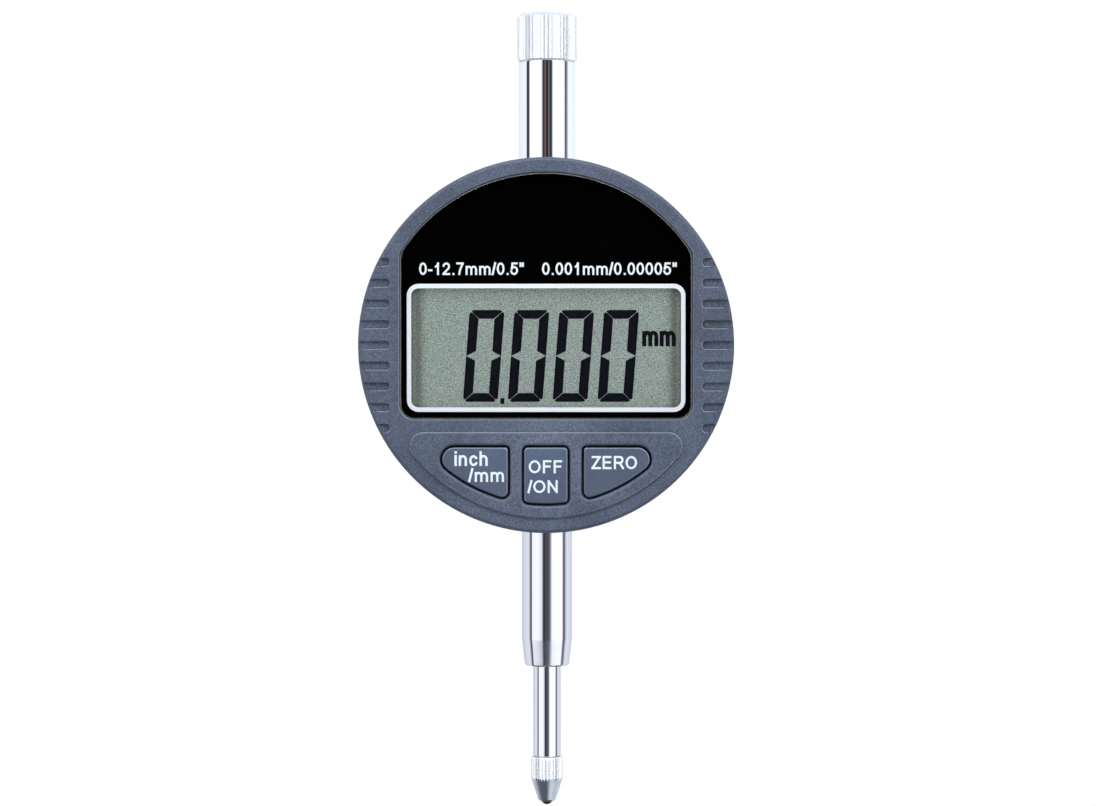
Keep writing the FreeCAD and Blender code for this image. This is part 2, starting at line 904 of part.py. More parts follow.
def battery_cell():
    can = along_y(cell_radius, cell_y, cell_rear_y, cell_x)
    return can.makeFillet(cell_edge_round, edges_in_plane_y(can, cell_y) + edges_in_plane_y(can, cell_rear_y))


def battery_spring():
    """The negative contact: a sprung dished washer on the holder's floor, with a tail to the board."""
    low_y = cell_floor_y + cell_floor
    height = cell_y - low_y
    wide = cell_radius / 2
    narrow = wide / 2
    outer = Part.makeCone(wide, narrow, height, point(cell_x, low_y, 0), BACK)
    inner = Part.makeCone(
        wide - contact_sheet, narrow - contact_sheet, height - contact_sheet, point(cell_x, low_y, 0), BACK
    )
    tail = along_y(cell_tail_radius, board_rear_y, cell_y, cell_x)
    return outer.cut(inner).fuse(tail)


def battery_strip():
    """The positive contact, a flat strip up the side of the cell."""
    low = cell_radius + press_gap
    half = strip_width / 2
    rear = cell_rear_y - 2 * cell_edge_round
    return block(cell_x - half, cell_x + half, board_rear_y, rear, low, low + strip_thickness)


# ---------------------------------------------------------------- back cover, lug and battery door
def sector(radius, y0, y1, middle, half_angle):
    """A pie-shaped prism about the battery's axis; angles turn from +X towards +Z."""
    start, end = math.radians(middle - half_angle), math.radians(middle + half_angle)
    corners = [
        point(cell_x, y0, 0),
        point(cell_x + radius * math.cos(start), y0, radius * math.sin(start)),
        point(cell_x + radius * math.cos(end), y0, radius * math.sin(end)),
    ]
    bulge = point(
        cell_x + radius * math.cos(math.radians(middle)), y0, radius * math.sin(math.radians(middle))
    )
    outline = Part.Wire(
        [
            Part.makeLine(corners[0], corners[1]),
            Part.Arc(corners[1], bulge, corners[2]).toShape(),
            Part.makeLine(corners[2], corners[0]),
        ]
    )
    return Part.Face(outline).extrude(BACK * (y1 - y0))


def battery_door():
    """A coin-slotted disc with two tabs that lock under the cover's lip."""
    outer_y = rear_y + door_thickness
    disc = along_y(door_radius, rear_y, outer_y, cell_x)
    disc = disc.makeFillet(slot_corner, edges_in_plane_y(disc, outer_y))
    tabs = [
        sector(door_radius + door_tab_reach, rear_y, rear_y + door_tab_thickness, middle, door_tab_half_angle)
        for middle in (0, 180)
    ]
    slot = block(
        cell_x - door_slot_width / 2,
        cell_x + door_slot_width / 2,
        outer_y - door_slot_depth,
        outer_y + cutter_past,
        -door_slot_length / 2,
        door_slot_length / 2,
    )
    slot = slot.makeFillet(door_slot_width * 0.45, straight_edges(slot, BACK))
    return disc.fuse(tabs).cut(slot)


def lug():
    """The upright ear behind the cover, rounded about its hole."""
    x = lug_half_thickness
    ear = along_x(lug_end_radius, -x, x, lug_hole_y, 0)
    root_y = cover_y - joint_overlap
    ear = ear.fuse(block(-x, x, root_y, lug_hole_y, -lug_end_radius, lug_end_radius)).removeSplitter()
    outline = [e for e in ear.Edges if e.BoundBox.XLength < lug_half_thickness and e.BoundBox.YMax > cover_y]
    return ear.makeFillet(lug_edge_round, outline)


def back_cover():
    radius = case_radius - cover_step
    plate = along_y(radius, rear_y, cover_y)
    plate = plate.makeFillet(cover_edge_round, edges_in_plane_y(plate, cover_y))
    lip_radius = inside_radius - rigid_gap / 2
    lip_y = rear_y - cover_lip_depth
    lip = along_y(lip_radius, lip_y, rear_y + joint_overlap)
    lip = lip.cut(along_y(lip_radius - cover_lip_wall, lip_y - cutter_past, rear_y))
    cover = plate.fuse([lip, lug()])
    root = [e for e in edges_in_plane_y(cover, cover_y) if e.BoundBox.DiagonalLength < 3 * lug_end_radius]
    cover = cover.makeFillet(lug_root_round, root)
    cuts = [along_x(lug_hole_radius, -case_radius, case_radius, lug_hole_y, 0)]
    for x, z in boss_places:
        head_way = cover_screw_head_radius + sliding_gap
        cuts.append(along_y(head_way, screw_seat_y, cover_y + cutter_past, x, z))
        cuts.append(along_y(cover_screw_radius + sliding_gap, rear_y - cutter_past, cover_y, x, z))
    way = door_radius + sliding_gap
    groove = door_radius + door_tab_reach + sliding_gap
    groove_y = rear_y + door_tab_thickness + sliding_gap
    front, rear = rear_y - cutter_past, cover_y + cutter_past
    cuts.append(along_y(way, front, rear, cell_x))
    cuts.append(along_y(groove, front, groove_y, cell_x))
    for middle in (door_turn, door_turn + 180):
        cuts.append(sector(groove, front, rear, middle, door_tab_half_angle + door_tab_play))
    return cover.cut(cuts)


def cover_screws():
    sizes = cover_screw_radius, cover_screw_length, cover_screw_head_radius, cover_screw_head_height
    return [pan_screw(x, z, screw_seat_y, *sizes) for x, z in boss_places]


# ---------------------------------------------------------------- the whole part
def pieces():
    """Every sub-part: its name and its solid, or its list of like solids."""
    return {
        "front_case": front_case(),
        "window_panel": window_panel(),
        "printed_mask": printed_mask(),
        "front_polariser": display_sheet(film_y, film_thickness),
        "lcd_front_glass": display_sheet(front_glass_y, glass_thickness),
        "lcd_rear_glass": display_sheet(rear_glass_y, glass_thickness, 0, glass_ledge),
        "lcd_reflector": display_sheet(reflector_y, reflector_thickness, 0, glass_ledge),
        "lcd_foam_pad": display_sheet(pad_y, board_y - pad_y, glass_ledge, glass_ledge + zebra_width),
        "lcd_holder": lcd_holder(),
        "zebra_strips": zebra_strips(),
        "unit_key": key_cap("unit"),
        "power_key": key_cap("power"),
        "zero_key": key_cap("zero"),
        "unit_plunger": key_plunger("unit"),
        "power_plunger": key_plunger("power"),
        "zero_plunger": key_plunger("zero"),
        "tact_switches": tact_switches(),
        "main_board": main_board(),
        "board_screws": board_screws(),
        "controller_chip": controller_chip(),
        "crystal_can": crystal_can(),
        "stem": stem(),
        "lower_bush": lower_bush(),
        "upper_bush": upper_bush(),
        "top_tube": top_tube(),
        "top_cap": top_cap(),
        "spindle": spindle(),
        "contact_point": contact_point(),
        "contact_ball": contact_ball(),
        "stop_ring": stop_ring(),
        "slider_block": slider_block(),
        "clamp_screw": clamp_screw(),
        "moving_grid": moving_grid(),
        "guide_rod": guide_rod(),
        "return_spring": return_spring(),
        "battery_holder": battery_holder(),
        "battery_cell": battery_cell(),
        "battery_spring": battery_spring(),
        "battery_strip": battery_strip(),
        "battery_door": battery_door(),
        "back_cover": back_cover(),
        "cover_screws": cover_screws(),
    }


def write_parts():
    """Sets each piece into the part's frame and writes its STEP file."""
    os.makedirs("parts", exist_ok=True)
    origin_height = stem_clamp_length / 2 + case_radius
    for name, solids in pieces().items():
        shape = Part.makeCompound(solids) if isinstance(solids, list) else solids
        shape.translate(point(0, 0, origin_height))
        shape.exportStep(f"parts/{name}.step")


write_parts()
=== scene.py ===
"""Finishes, printed marks, display and studio for a digital dial indicator."""

import json
import math
from typing import NamedTuple

import bpy
from bpy.props import FloatProperty, FloatVectorProperty, PointerProperty
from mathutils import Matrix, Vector


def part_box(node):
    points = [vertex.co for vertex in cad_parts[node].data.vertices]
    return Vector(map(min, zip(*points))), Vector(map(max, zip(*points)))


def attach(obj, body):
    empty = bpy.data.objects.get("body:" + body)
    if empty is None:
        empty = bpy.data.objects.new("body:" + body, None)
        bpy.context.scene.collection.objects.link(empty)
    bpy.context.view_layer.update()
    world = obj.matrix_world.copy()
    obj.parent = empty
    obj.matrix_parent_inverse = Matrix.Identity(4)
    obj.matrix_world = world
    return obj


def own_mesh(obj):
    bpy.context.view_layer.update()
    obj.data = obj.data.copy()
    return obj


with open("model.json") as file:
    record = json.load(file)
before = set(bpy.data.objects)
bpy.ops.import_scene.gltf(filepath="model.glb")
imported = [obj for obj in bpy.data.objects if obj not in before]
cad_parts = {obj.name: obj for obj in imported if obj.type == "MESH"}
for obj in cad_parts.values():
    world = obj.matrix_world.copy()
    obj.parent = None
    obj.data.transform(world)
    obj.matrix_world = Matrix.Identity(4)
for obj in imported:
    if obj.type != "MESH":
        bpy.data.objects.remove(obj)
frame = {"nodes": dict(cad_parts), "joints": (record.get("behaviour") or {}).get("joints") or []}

bl_info = {
    "name": "Dial indicator finishing",
    "version": (1, 0, 0),
    "blender": (4, 5, 0),
    "location": "3D View > Sidebar > Indicator",
    "description": "Finishes, printed marks, display and studio for a digital dial indicator",
    "category": "Object",
}

MM = 0.001
PLAIN = "_plain"  # ends the name of a material that came with the parts and has been replaced


# ---------------------------------------------------------------- settings


def number(name, default, description, **kind):
    return FloatProperty(name=name, default=default, description=description, **kind)


def length(name, millimetres, description):
    return number(name, millimetres * MM, description, unit="LENGTH", subtype="DISTANCE", precision=5)


def tint(name, colour, description):
    return FloatVectorProperty(
        name=name, default=colour, description=description, subtype="COLOR", min=0, max=1
    )


class DisplaySettings(bpy.types.PropertyGroup):
    """Sizes of what the liquid crystal display shows, measured from the case centre."""

    digit_left: length("First digit left", -13.12, "Left foot of the first digit")
    digit_foot: length("Digit foot", -8.91, "Bottom of the digits, from the case centre")
    digit_height: length("Digit height", 14.45, "Height of a digit")
    digit_width: length("Digit width", 5.5, "Width of a digit")
    digit_pitch: length("Digit pitch", 7.06, "From one digit to the next")
    bar_height: length("Bar height", 1.38, "Thickness of a digit's level bars")
    bar_width: length("Bar width", 1.5, "Thickness of a digit's upright bars")
    bar_gap: length("Bar gap", 0.14, "Gap between two bars of a digit")
    corner: length("Corner", 0.75, "Cut of a digit's outer corners")
    slant: number(
        "Slant", math.radians(4.3), "Lean of the digits to the right", subtype="ANGLE", unit="ROTATION",
    )
    ink: tint("Bars", (0.0072, 0.0085, 0.0115), "Colour of a dark bar of the display")


class PrintSettings(bpy.types.PropertyGroup):
    """Sizes and colours of the marks printed behind the window and on the keys."""

    frame_half_width: length("Frame half width", 21.9, "Half the width of the white frame")
    frame_top: length("Frame top", 9.65, "Top of the white frame, from the case centre")
    frame_bottom: length("Frame bottom", -10.49, "Bottom of the white frame")
    frame_corner: length("Frame corner", 1.85, "Outer corner radius of the white frame")
    frame_line: length("Frame line", 0.71, "Width of the white frame's line")
    film: length("Ink film", 0.012, "Thickness of the printed ink")
    window_white: tint("Window white", (0.91, 0.945, 1.0), "Ink of the marks behind the window")
    key_white: tint("Key white", (0.80, 0.89, 1.0), "Ink of the legends on the keys")


class FinishSettings(bpy.types.PropertyGroup):
    """Main colours of the moulded and plated parts."""

    case: tint("Case", (0.078, 0.100, 0.152), "Blue-grey plastic of the case")
    key: tint("Keys", (0.086, 0.109, 0.170), "Blue-grey plastic of the keys")
    display: tint("Display", (0.284, 0.341, 0.301), "Clear ground of the display")
    ground_chrome: tint("Ground chrome", (0.71, 0.735, 0.83), "Chrome plating of the stem and the spindle")
    bright_chrome: tint("Bright chrome", (0.90, 0.945, 1.0), "Brighter plating of the tube and the cap")
    collar: length("Contact collar", 3.41, "Height of the fluted collar of the contact point")


class StageSettings(bpy.types.PropertyGroup):
    """The camera, the lamps and the floor."""

    camera_distance: length("Camera distance", 506.6, "From the camera to the spindle axis")
    camera_rise: length("Camera rise", 2.0, "Camera height above the case centre")
    camera_side: length("Camera to the side", 8.0, "Camera place to the right of the spindle axis")
    aim_side: length("Aim to the side", 0.34, "Sideways place of the middle of the view")
    aim_drop: length("Aim below", 9.04, "Middle of the view below the case centre")
    lens: number("Lens", 104.0, "Focal length", subtype="DISTANCE_CAMERA")
    lamp_distance: length("Lamp distance", 900.0, "From the soft boxes to the indicator")
    box_light: number("Soft box light", 1.3, "Brightness of the soft boxes")
    side_share: number("Side box share", 0.9, "How bright the side boxes are beside the others")
    front_share: number("Front box share", 3.8, "How bright the top front box is beside the others")
    floor_drop: length("Floor drop", 60.0, "Floor below the contact point")


# ---------------------------------------------------------------- node trees


class Signal:
    """One output of a node. Arithmetic on it adds the Math nodes that work it out."""

    def __init__(self, sheet, socket):
        self.sheet = sheet
        self.socket = socket

    def __add__(self, other):
        return self.sheet.maths("ADD", self, other)

    def __sub__(self, other):
        return self.sheet.maths("SUBTRACT", self, other)

    def __rsub__(self, other):
        return self.sheet.maths("SUBTRACT", other, self)

    def __mul__(self, other):
        return self.sheet.maths("MULTIPLY", self, other)

    def __truediv__(self, other):
        return self.sheet.maths("DIVIDE", self, other)

    def __gt__(self, other):
        return self.sheet.maths("GREATER_THAN", self, other)

    def __lt__(self, other):
        return self.sheet.maths("LESS_THAN", self, other)


class Sheet:
    """The node tree of a material or of the world. A colour is three numbers, or one for a grey."""

    def __init__(self, owner):
        owner.use_nodes = True
        self.tree = owner.node_tree
        self.tree.nodes.clear()

    def add(self, kind, settings=None, sockets=None, output=0):
        """Adds a node: its settings first, then what its sockets are given. None leaves a socket alone.
        Sockets and the output go by their names, or by their numbers where a node repeats a name."""
        node = self.tree.nodes.new(kind)
        for name, value in (settings or {}).items():
            if name == "stops":
                ramp = node.color_ramp.elements
                while len(ramp) < len(value):
                    ramp.new(0.5)
                for element, (position, colour) in zip(ramp, value):
                    element.position = position
                    element.color = rgba(colour)
            else:
                setattr(node, name, value)
        for name, value in (sockets or {}).items():
            if isinstance(value, Signal):
                self.tree.links.new(value.socket, node.inputs[name])
            elif value is not None:
                node.inputs[name].default_value = value
        return Signal(self, node.outputs[output]) if node.outputs else None

    def maths(self, operation, *values):
        return self.add("ShaderNodeMath", {"operation": operation}, dict(enumerate(values)))

    def place(self, move=(0, 0, 0), stretch=(1, 1, 1)):
        """The object's own coordinates, moved and stretched."""
        here = self.add("ShaderNodeTexCoord", output="Object")
        return self.add("ShaderNodeMapping", None, {"Vector": here, "Location": move, "Scale": stretch})

    def part(self, axis, source="Object"):
        """The X, Y or Z of the object's own coordinates, or of another source, such as its Normal."""
        whole = self.add("ShaderNodeTexCoord", output=source)
        return self.add("ShaderNodeSeparateXYZ", None, {"Vector": whole}, axis)

    def distance(self, middle):
        """How far from a middle, in metres, seen from the front."""
        away = self.place([-part for part in middle], (1, 0, 1))
        return self.add("ShaderNodeVectorMath", {"operation": "LENGTH"}, {0: away}, "Value")

    def noise(self, size, detail=2.0, stretch=(1, 1, 1)):
        """Noise with grains about as large as size, in metres."""
        sockets = {"Vector": self.place(stretch=stretch), "Scale": 1 / size, "Detail": detail}
        return self.add("ShaderNodeTexNoise", None, sockets, "Fac")

    def ramp(self, factor, *stops):
        return self.add("ShaderNodeValToRGB", {"stops": stops}, {"Fac": factor})

    def mix(self, factor, first, second, blend="MIX"):
        """Mixes two colours, by the sockets that a Mix node has for colours."""
        pair = {0: factor, 6: colour_of(first), 7: colour_of(second)}
        return self.add("ShaderNodeMix", {"data_type": "RGBA", "blend_type": blend}, pair, output=2)

    def multiply_colours(self, first, second):
        """Multiplies two colours."""
        return self.mix(1.0, first, second, "MULTIPLY")

    def bump(self, height, depth, normal=None):
        """A normal that follows a height signal, depth metres deep."""
        sockets = {"Height": height, "Distance": depth, "Strength": 1.0, "Normal": normal}
        return self.add("ShaderNodeBump", None, sockets)

    def surface(self, base, roughness, metallic=0.0, normal=None, glint=1.0, shine=0.5):
        """The principled surface of a material. Glint tints its reflections, and shine is their strength."""
        sockets = {
            "Base Color": colour_of(base), "Roughness": roughness, "Metallic": metallic, "Normal": normal,
            "Specular Tint": rgba(glint), "Specular IOR Level": shine,
        }
        self.finish(self.add("ShaderNodeBsdfPrincipled", None, sockets))

    def blend(self, factor, first, second):
        """Mixes two shaders."""
        return self.add("ShaderNodeMixShader", None, {0: factor, 1: first, 2: second})

    def finish(self, shader, kind="ShaderNodeOutputMaterial"):
        self.add(kind, None, {"Surface": shader})


def rgba(colour):
    red, green, blue = [colour] * 3 if isinstance(colour, (int, float)) else colour[:3]
    return (red, green, blue, 1.0)


def colour_of(value):
    return value if isinstance(value, Signal) else rgba(value)


def shaded(colour, share):
    """A colour made lighter, or darker with a share under 1."""
    return [min(1.0, part * share) for part in colour]


def new_material(name):
    """A material and its empty sheet. One of the same name that came with the parts gives up its name."""
    old = bpy.data.materials.get(name)
    if old:
        old.name = name + PLAIN
    material = bpy.data.materials.new(name)
    return material, Sheet(material)


# ---------------------------------------------------------------- tables


# What a mirror facing each way sees of the room above the case centre, just below it and further down:
# degrees to the right of the camera, and brightness.
HIGH_ROOM = (
    (-180, (0.95, 0.96, 1.01)),
    (-96, (0.96, 0.97, 1.02)),
    (-91.5, (0.76, 0.77, 0.78)),
    (-88.5, (0.04, 0.04, 0.06)),
    (-78.5, (0.03, 0.03, 0.055)),
    (-74.5, (0.55, 0.55, 0.56)),
    (-70.5, (1.28, 1.28, 1.30)),
    (-47, (1.40, 1.40, 1.42)),
    (-28, (1.28, 1.28, 1.30)),
    (-22.5, (1.20, 1.20, 1.22)),
    (-19, (0.50, 0.50, 0.51)),
    (-15, (0.012, 0.012, 0.016)),
    (-9.5, (0.08, 0.07, 0.08)),
    (-5, (0.25, 0.13, 0.14)),
    (-1, (0.025, 0.012, 0.018)),
    (4, (0.012, 0.014, 0.024)),
    (8, (0.19, 0.19, 0.21)),
    (12, (0.075, 0.07, 0.09)),
    (16, (0.03, 0.033, 0.055)),
    (20.5, (0.04, 0.042, 0.07)),
    (24.5, (0.80, 0.80, 0.86)),
    (28, 1.42),
    (72, 1.44),
    (77, (0.95, 0.95, 0.97)),
    (80.5, (0.04, 0.045, 0.06)),
    (87, (0.18, 0.20, 0.26)),
    (92, (0.32, 0.35, 0.45)),
    (95.5, (0.66, 0.71, 0.82)),
    (99, (1.04, 1.04, 1.03)),
    (180, 1.02),
)
LEVEL_ROOM = (
    (-180, (0.93, 0.94, 0.95)),
    (-100, 1.00),
    (-91, (1.02, 1.02, 1.01)),
    (-85, 0.44),
    (-80, 0.12),
    (-74.5, 0.08),
    (-71, 1.22),
    (-47, 1.34),
    (-30, 1.18),
    (-23, 1.04),
    (-18.5, (0.30, 0.29, 0.29)),
    (-14.5, (0.04, 0.037, 0.037)),
    (-10, (0.05, 0.046, 0.047)),
    (-6, (0.10, 0.095, 0.095)),
    (4, (0.10, 0.096, 0.10)),
    (9, (0.10, 0.10, 0.12)),
    (13, (0.18, 0.19, 0.22)),
    (17, (0.34, 0.36, 0.40)),
    (21, (0.90, 0.91, 0.93)),
    (27, 1.42),
    (73, 1.44),
    (77.5, 0.95),
    (82, (0.16, 0.16, 0.17)),
    (88, (0.16, 0.17, 0.19)),
    (94, (0.34, 0.36, 0.40)),
    (99, (0.88, 0.89, 0.92)),
    (108, 1.03),
    (180, 1.03),
)
LOW_ROOM = (
    (-180, 1.0),
    (-130, (0.85, 0.87, 0.88)),
    (-95, (0.35, 0.36, 0.38)),
    (-75, (0.15, 0.16, 0.19)),
    (-10, (0.13, 0.145, 0.175)),
    (5, (0.18, 0.20, 0.24)),
    (25, (0.75, 0.77, 0.80)),
    (50, (1.05, 1.06, 1.06)),
    (75, (0.80, 0.82, 0.84)),
    (95, (0.72, 0.74, 0.77)),
    (130, 1.0),
    (180, 1.0),
)


def arc(x, z, across, up, first, last):
    """Points along an ellipse, in steps of about 20 degrees, anticlockwise from its right end."""
    steps = max(3, round(abs(last - first) / 20))
    turns = [math.radians(first + (last - first) * step / steps) for step in range(steps + 1)]
    return [(x + across * math.cos(turn), z + up * math.sin(turn)) for turn in turns]


# Strokes round a letter's box and along its sides.
RING = [arc(0.5, 0.5, 0.5, 0.5, 0, 180), arc(0.5, 0.5, 0.5, 0.5, 180, 360)]
LEFT, RIGHT = [(0, 0), (0, 1)], [(1, 0), (1, 1)]
TOP, BOTTOM = [(0, 1), (1, 1)], [(0, 0), (1, 0)]


class Letter(NamedTuple):
    """How far a letter goes on, and its edges, in capital heights. The points of its pen strokes go from 0
    to 1 across and up the box of its edges, along the middle of the line."""

    advance: float
    left: float
    right: float
    bottom: float
    top: float
    strokes: list


LETTERS = {
    "0": Letter(0.777, 0.058, 0.716, 0, 1, RING),
    "1": Letter(0.777, 0.152, 0.520, 0, 1, [RIGHT, [(0.98, 0.97), (0.6, 0.8), (0.08, 0.7)]]),
    "2": Letter(0.777, 0.042, 0.703, 0, 1, [
        [*arc(0.5, 0.7, 0.48, 0.3, 165, -30), (0.03, 0.04)], [(0.02, 0), (1, 0)],
    ]),
    "5": Letter(0.777, 0.058, 0.719, 0, 1, [
        [(0.92, 1), (0.2, 1)], [(0.18, 0.96), (0.08, 0.5)], arc(0.48, 0.33, 0.52, 0.33, 145, -165),
    ]),
    "7": Letter(0.777, 0.066, 0.713, 0, 1, [TOP, [(0.97, 0.96), (0.62, 0.55), (0.44, 0.27), (0.36, 0)]]),
    ".": Letter(0.388, 0.127, 0.267, 0, 0.14, [[(0.5, 0), (0.5, 1)]]),
    "-": Letter(0.465, 0.044, 0.422, 0.300, 0.424, [[(0, 0.5), (1, 0.5)]]),
    "/": Letter(0.388, 0, 0.388, -0.017, 1.017, [[(0, 0), (1, 1)]]),
    '"': Letter(0.496, 0.064, 0.431, 0.646, 1, [LEFT, RIGHT]),
    "m": Letter(1.164, 0.092, 1.074, 0, 0.74, [
        [(0, 0), (0, 0.97)],
        [*arc(0.25, 0.62, 0.25, 0.38, 180, 0), (0.5, 0)], [*arc(0.75, 0.62, 0.25, 0.38, 180, 0), (1, 0)],
    ]),
    "i": Letter(0.310, 0.093, 0.216, 0, 1, [[(0.5, 0), (0.5, 0.69)], [(0.5, 0.99), (0.5, 1)]]),
    "n": Letter(0.777, 0.092, 0.682, 0, 0.74, [
        [(0, 0), (0, 0.97)], [*arc(0.5, 0.6, 0.5, 0.4, 180, 0), (1, 0)],
    ]),
    "c": Letter(0.698, 0.055, 0.685, -0.015, 0.74, [arc(0.5, 0.5, 0.5, 0.5, 38, 322)]),
    "h": Letter(0.777, 0.092, 0.681, 0, 1, [LEFT, [*arc(0.5, 0.43, 0.5, 0.27, 180, 0), (1, 0)]]),
    "O": Letter(1.087, 0.068, 1.024, 0, 1, RING),
    "F": Letter(0.853, 0.115, 0.792, 0, 1, [LEFT, TOP, [(0, 0.52), (0.86, 0.52)]]),
    "N": Letter(1.009, 0.106, 0.894, 0, 1, [LEFT, [(0.04, 0.95), (0.96, 0.05)], RIGHT]),
    "Z": Letter(0.853, 0.028, 0.825, 0, 1, [[(0.05, 1), (1, 1)], [(0.93, 0.95), (0.07, 0.05)], BOTTOM]),
    "E": Letter(0.932, 0.110, 0.862, 0, 1, [LEFT, [(0, 1), (0.97, 1)], [(0, 0.52), (0.9, 0.52)], BOTTOM]),
    "R": Letter(1.009, 0.110, 0.991, 0, 1, [
        LEFT, [(0, 1), (0.6, 1), *arc(0.62, 0.74, 0.27, 0.26, 80, -80), (0.6, 0.48), (0, 0.48)],
        [(0.48, 0.46), (0.66, 0.36), (0.95, 0)],
    ]),
}
CAPITAL_WEIGHT = 0.165  # the width of a line, in capital heights
HAIR = 0.02  # a share of a line's width that is too small to show

# Where print stands: left, right, bottom and top in millimetres, the last two up from the case centre.
DECIMAL_POINT = (-7.2, -6.57, -9.24, -8.33)
DISPLAY_UNIT = (15.11, 20.41, -0.17, 2.29)
WINDOW_WORDS = (
    ("range_words", '0-12.7mm/0.5"', (-19.95, -3.5, 11.0, 13.04)),
    ("resolution_words", '0.001mm/0.00005"', (-0.63, 20.53, 11.0, 13.04)),
)
KEY_LEGENDS = (
    ("unit_legend_inch", "inch", "unit_button", (-14.34, -9.11, -18.95, -16.6)),
    ("unit_legend_mm", "/mm", "unit_button", (-12.18, -6.56, -21.45, -19.23)),
    ("power_legend_off", "OFF", "power_button", (-2.69, 2.55, -20.06, -18.0)),
    ("power_legend_on", "/ON", "power_button", (-2.88, 1.86, -23.19, -21.1)),
    ("zero_legend", "ZERO", "zero_button", (7.12, 14.29, -19.41, -17.33)),
)

# The side soft boxes: from and to how many degrees to the right of the camera, and how many they reach up.
SIDE_BOXES = (("left_soft_box", -72, -15), ("right_soft_box", 20, 81))
SIDE_BOX_RISE = (5, 62)
# Where the lower room and the dark foot of the room begin and are full, in metres from the case centre.
LOW_ROOM_RISE = (-0.27, -0.45)
ROOM_FOOT_RISE = (-0.95, -1.15)
ROOM_DARK = (0.1, 0.1, 0.11)
FLOOR_RADIUS = 0.5


# ---------------------------------------------------------------- finishes

# How noise is stretched into streaks along an upright part, and into the rings that a lathe leaves round it.
STREAKS = (1, 1, 0.02)
RINGS = (0.05, 0.05, 1)


def painted_sheen(sheet, base, middle, reach, gain):
    """A colour that handling has made paler round a middle, by the gain of red, green and blue there."""
    return sheet.multiply_colours(base, sheet.ramp(sheet.distance(middle) / reach, (0.1, gain), (1.0, 1)))


def painted_edge_highlight(sheet, base, inset, colour, middle, reach):
    """A colour worn to another at the outer edges of a round face, most at its right and upper sides."""
    inner = {"inside": True, "only_local": True, "samples": 12}
    edges = 1 - sheet.add("ShaderNodeAmbientOcclusion", inner, {"Distance": inset}, "AO")
    right, up = sheet.part("X", "Normal"), sheet.part("Z", "Normal")
    # painted highlight: edges that face right and up, where the light falls, get the most
    sides = sheet.maths("ABSOLUTE", right) * 0.75 + right * 0.25 + sheet.maths("MAXIMUM", up, 0.0) * 0.8
    highlit = sheet.ramp(edges, (0.06, 0), (0.32, 1)) * (sheet.distance(middle) < reach) * sides
    return sheet.mix(highlit, base, colour)


def moulded(name, colour, grain, depth, roughness, spread=0.06, bevel=0.06 * MM, rub=None, sheen=None):
    """Moulded plastic with a fine spark-eroded grain and softened edges. Spread is how uneven its colour
    is, and rub and paler are what rubbed and handled are told."""
    material, sheet = new_material(name)
    fine = sheet.noise(grain, 3.0)
    broad = sheet.noise(grain * 30)
    tone = (fine - 0.5) * (spread * 4) + (broad - 0.5) * spread + 0.5
    base = sheet.ramp(tone, (0.0, shaded(colour, 0.55)), (0.5, colour), (1.0, shaded(colour, 1.6)))
    if sheen:
        base = painted_sheen(sheet, base, *sheen)
    if rub:
        base = painted_edge_highlight(sheet, base, *rub)
    rounded = sheet.add("ShaderNodeBevel", {"samples": 6}, {"Radius": bevel})
    sheet.surface(base, (broad - 0.5) * 0.15 + roughness, normal=sheet.bump(fine, depth, rounded))
    return material


def plated(name, colour, roughness, scatter=0.0):
    """Polished metal with faint streaks along the part. Scatter is how dull knurling makes its sides."""
    material, sheet = new_material(name)
    streaks = sheet.noise(0.3 * MM, 3.0, STREAKS)
    broad = sheet.noise(6 * MM)
    uneven = 0.01
    base = sheet.ramp(streaks, (0.2, shaded(colour, 0.97)), (0.8, shaded(colour, 1.02)))
    polish = streaks * uneven + (broad - 0.5) * uneven + roughness
    metallic = 1 - (sheet.part("Z", "Normal") < 0.3) * scatter if scatter else 1.0
    sheet.surface(base, polish, metallic, glint=shaded(colour, 0.95))
    return material


def turned(name, colour, roughness=0.25, metallic=1.0):
    """Metal with the fine rings of turning."""
    material, sheet = new_material(name)
    rings = sheet.noise(0.08 * MM, stretch=RINGS)
    broad = sheet.noise(2 * MM)
    base = sheet.ramp(rings, (0.2, shaded(colour, 0.85)), (0.8, shaded(colour, 1.1)))
    polish = (rings - 0.5) * 0.2 + (broad - 0.5) * 0.1 + roughness
    sheet.surface(base, polish, metallic, sheet.bump(rings, 0.002 * MM))
    return material


def contact_steel(name, cone, collar, border):
    """The contact point: a ground cone below a height, and above it a brighter satin-plated collar."""
    material, sheet = new_material(name)
    rings = sheet.noise(0.1 * MM, stretch=RINGS)
    above = sheet.part("Z") > border
    ground = sheet.ramp(rings, (0.2, shaded(cone, 0.8)), (0.8, shaded(cone, 1.12)))
    base = sheet.mix(above, ground, collar)
    polish = (rings - 0.5) * 0.16 + above * 0.14 + 0.2
    sheet.surface(base, polish, 1 - above * 0.35, sheet.bump(rings, 0.002 * MM), shaded(cone, 0.9))
    return material


def clear_panel(name):
    """Polished clear plastic that reflects by angle. Its rounded edge is left frosted."""
    material, sheet = new_material(name)
    haze = sheet.noise(9 * MM)
    facing = sheet.maths("ABSOLUTE", sheet.part("Y", "Normal"))
    # painted highlight: a grey diffuse band on the rounded edge, where it would reflect a light line
    edge_highlight_band = sheet.ramp(facing, (0.3, 0), (0.42, 1), (0.66, 1), (0.78, 0))
    inside = sheet.add("ShaderNodeNewGeometry", output="Backfacing")
    shine = sheet.add("ShaderNodeFresnel", None, {"IOR": 1.45}) * (1 - inside)
    clear = sheet.add("ShaderNodeBsdfTransparent", None, {"Color": rgba((0.985, 0.99, 1.0))})
    gloss = sheet.add("ShaderNodeBsdfGlossy", None, {"Roughness": haze * 0.04 + 0.01})
    edge = sheet.add("ShaderNodeBsdfDiffuse", None, {"Color": rgba((0.46, 0.45, 0.45))})
    sheet.finish(sheet.blend(edge_highlight_band, sheet.blend(shine, clear, gloss), edge))
    return material


